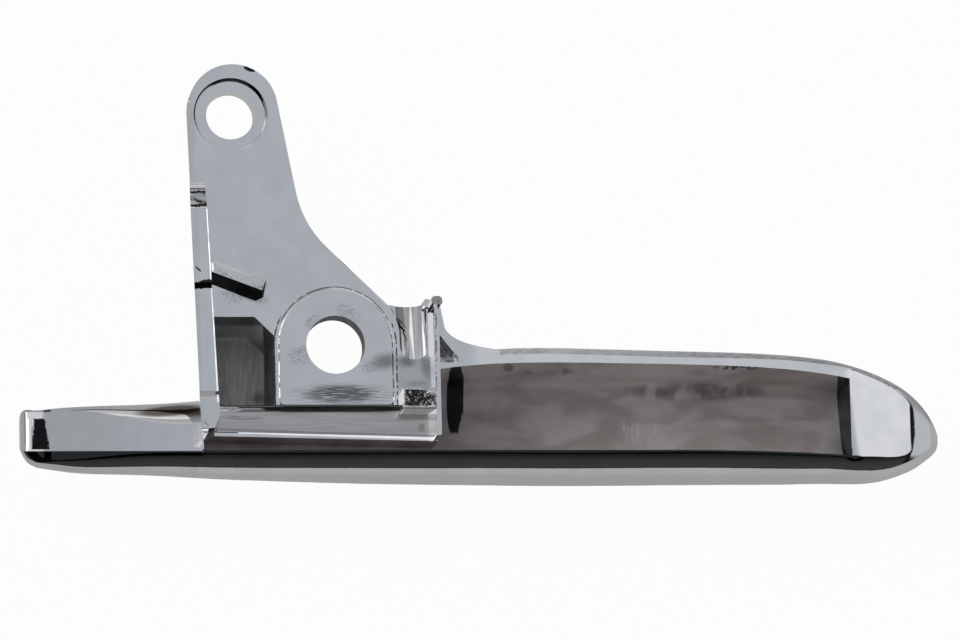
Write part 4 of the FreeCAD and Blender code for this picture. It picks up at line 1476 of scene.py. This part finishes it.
@dataclass
class Studio:
    """Pale floor and the soft surroundings that the plating mirrors."""

    floor_half: float = 0.8
    floor_grey: float = 0.5
    white: float = 0.97
    mirrored: float = 0.30

    def floor(self, level: float) -> bpy.types.Object:
        """Lays the floor under the lever.

        Args:
            level: Height of the lowest point of the lever.

        Returns:
            The floor.
        """
        s = self.floor_half
        mesh = bpy.data.meshes.new("floor")
        mesh.from_pydata(
            [(-s, -s, level), (s, -s, level), (s, s, level), (-s, s, level)], [], [(0, 1, 2, 3)]
        )
        piece = bpy.data.objects.new("floor", mesh)
        bpy.context.scene.collection.objects.link(piece)
        material = bpy.data.materials.new("floor")
        material.use_nodes = True
        tree = material.node_tree
        tree.nodes.clear()
        nodes = Nodes(tree)
        out = tree.nodes.new("ShaderNodeOutputMaterial")
        blend = tree.nodes.new("ShaderNodeMixShader")
        path = tree.nodes.new("ShaderNodeLightPath")
        diffuse = tree.nodes.new("ShaderNodeBsdfDiffuse")
        diffuse.inputs["Color"].default_value = (
            self.floor_grey, self.floor_grey, self.floor_grey, 1.0
        )
        glow = tree.nodes.new("ShaderNodeEmission")
        glow.inputs["Color"].default_value = (1.0, 1.0, 1.0, 1.0)
        seen = nodes.math("MULTIPLY", path.outputs["Is Camera Ray"], self.white)
        mirrored = nodes.math("MULTIPLY", path.outputs["Is Glossy Ray"], self.mirrored)
        nodes.link(nodes.math("ADD", seen, mirrored), blend.inputs[0])
        nodes.link(diffuse.outputs[0], blend.inputs[1])
        nodes.link(glow.outputs[0], blend.inputs[2])
        nodes.link(blend.outputs[0], out.inputs[0])
        mesh.materials.append(material)
        return piece

    def world(self) -> None:
        """Surroundings by direction: black in front, pale above and behind, white at the left.

        A black card stands above on the right, and a dark seam runs along the floor's edge.
        """
        world = bpy.data.worlds.new("studio")
        bpy.context.scene.world = world
        world.use_nodes = True
        tree = world.node_tree
        tree.nodes.clear()
        nodes = Nodes(tree)
        out = tree.nodes.new("ShaderNodeOutputWorld")
        back = tree.nodes.new("ShaderNodeBackground")
        coord = tree.nodes.new("ShaderNodeTexCoord")
        path = tree.nodes.new("ShaderNodeLightPath")
        x, y, z = nodes.split(coord.outputs["Generated"])
        sky = nodes.ramp(
            y,
            [
                (-1.0, (0.050, 0.052, 0.046)),
                (-0.75, (0.040, 0.041, 0.036)),
                (-0.40, (0.012, 0.012, 0.011)),
                (-0.16, (0.008, 0.008, 0.008)),
                (-0.10, (0.10, 0.09, 0.09)),
                (0.02, (0.36, 0.36, 0.37)),
                (0.14, (0.46, 0.49, 0.515)),
                (0.24, (0.49, 0.52, 0.55)),
                (0.38, (0.64, 0.65, 0.67)),
                (0.58, (0.60, 0.60, 0.61)),
                (0.76, (0.46, 0.45, 0.445)),
                (0.83, (0.24, 0.215, 0.195)),
                (0.89, (0.11, 0.095, 0.08)),
                (0.97, (0.10, 0.085, 0.075)),
            ],
        )
        right = nodes.math("MULTIPLY", nodes.span(x, 0.50, 0.58), nodes.span(y, -0.8, -0.45))
        sky = nodes.mix(right, sky, (0.58, 0.59, 0.615))
        left = nodes.math("MULTIPLY", nodes.span(x, 0.08, -0.11), nodes.span(y, -0.16, 0.0))
        left = nodes.math("MULTIPLY", left, nodes.span(y, 0.66, 0.45))
        sky = nodes.mix(left, sky, (0.93, 0.93, 0.95))
        far = nodes.math("MULTIPLY", nodes.span(x, -0.36, -0.55), left)
        sky = nodes.mix(far, sky, (1.08, 1.08, 1.08))
        card = nodes.math("MULTIPLY", nodes.span(x, 0.28, 0.34), nodes.span(x, 0.57, 0.51))
        card = nodes.math("MULTIPLY", card, nodes.span(y, 0.62, 0.48))
        sky = nodes.mix(card, sky, (0.012, 0.012, 0.014))
        seam = nodes.product(
            nodes.span(z, 0.13, 0.07), nodes.span(z, -0.02, 0.02), nodes.span(x, 0.5, 0.3)
        )
        sky = nodes.mix(nodes.math("MULTIPLY", seam, 0.85), sky, (0.02, 0.02, 0.02))
        sky = nodes.mix(nodes.span(z, 0.01, -0.01), sky, (0.42, 0.42, 0.42))
        sky = nodes.mix(path.outputs["Is Camera Ray"], sky, (self.white, self.white, self.white))
        nodes.link(sky, back.inputs["Color"])
        nodes.link(back.outputs[0], out.inputs[0])

    def lamps(self) -> None:
        """Two large soft lamps, at the left and behind on the right."""
        for name, place, size, watts in (
            ("key", (-0.85, 0.35, 0.75), 0.8, 2.2),
            ("fill", (0.35, 0.95, 0.50), 0.7, 0.9),
        ):
            light = bpy.data.lights.new(name, "AREA")
            light.shape = "SQUARE"
            light.size = size
            light.energy = watts
            lamp = bpy.data.objects.new(name, light)
            lamp.location = place
            aim = Vector((0.02, 0.0, 0.0)) - Vector(place)
            lamp.rotation_euler = aim.to_track_quat("-Z", "Y").to_euler()
            bpy.context.scene.collection.objects.link(lamp)


@dataclass
class Camera:
    """Distant camera that looks down on the mounting side, as in the photograph."""

    right: tuple[float, float, float] = (0.99152, -0.02491, 0.12758)
    up: tuple[float, float, float] = (0.0, 0.98132, 0.19163)
    back: tuple[float, float, float] = (-0.13, -0.19, 0.973)
    distance: float = 1.6
    mm_per_pixel: float = 0.1522
    origin_px: tuple[float, float] = (335.5, 344.6)
    frame_px: tuple[int, int] = (960, 640)
    sensor: float = 36.0

    def build(self) -> bpy.types.Object:
        """Places the camera from its own axes.

        Returns:
            The camera.
        """
        right, up, back = (Vector(a).normalized() for a in (self.right, self.up, self.back))
        scale = self.mm_per_pixel * MM
        across = (self.frame_px[0] / 2 - self.origin_px[0]) * scale
        above = (self.origin_px[1] - self.frame_px[1] / 2) * scale
        place = right * across + up * above + back * self.distance
        data = bpy.data.cameras.new("camera")
        data.sensor_width = self.sensor
        data.lens = self.sensor * self.distance / (self.frame_px[0] * scale)
        data.clip_end = 10.0
        camera = bpy.data.objects.new("camera", data)
        turn = Matrix((right, up, back)).transposed().to_4x4()
        camera.matrix_world = Matrix.Translation(place) @ turn
        bpy.context.scene.collection.objects.link(camera)
        bpy.context.scene.camera = camera
        return camera


def main() -> None:
    """Builds the lever, the stage and the camera, and reports each piece."""
    logging.basicConfig(level=logging.INFO, format="%(name)s: %(message)s")
    bpy.context.scene.view_settings.view_transform = "Standard"
    lever = Lever().build()
    studio = Studio()
    floor = studio.floor(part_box("handle_lever")[0].z)
    studio.world()
    studio.lamps()
    camera = Camera().build()
    for piece in (lever, floor, camera):
        LOG.info("built %s", piece.name)


if __name__ == "__main__":
    main()
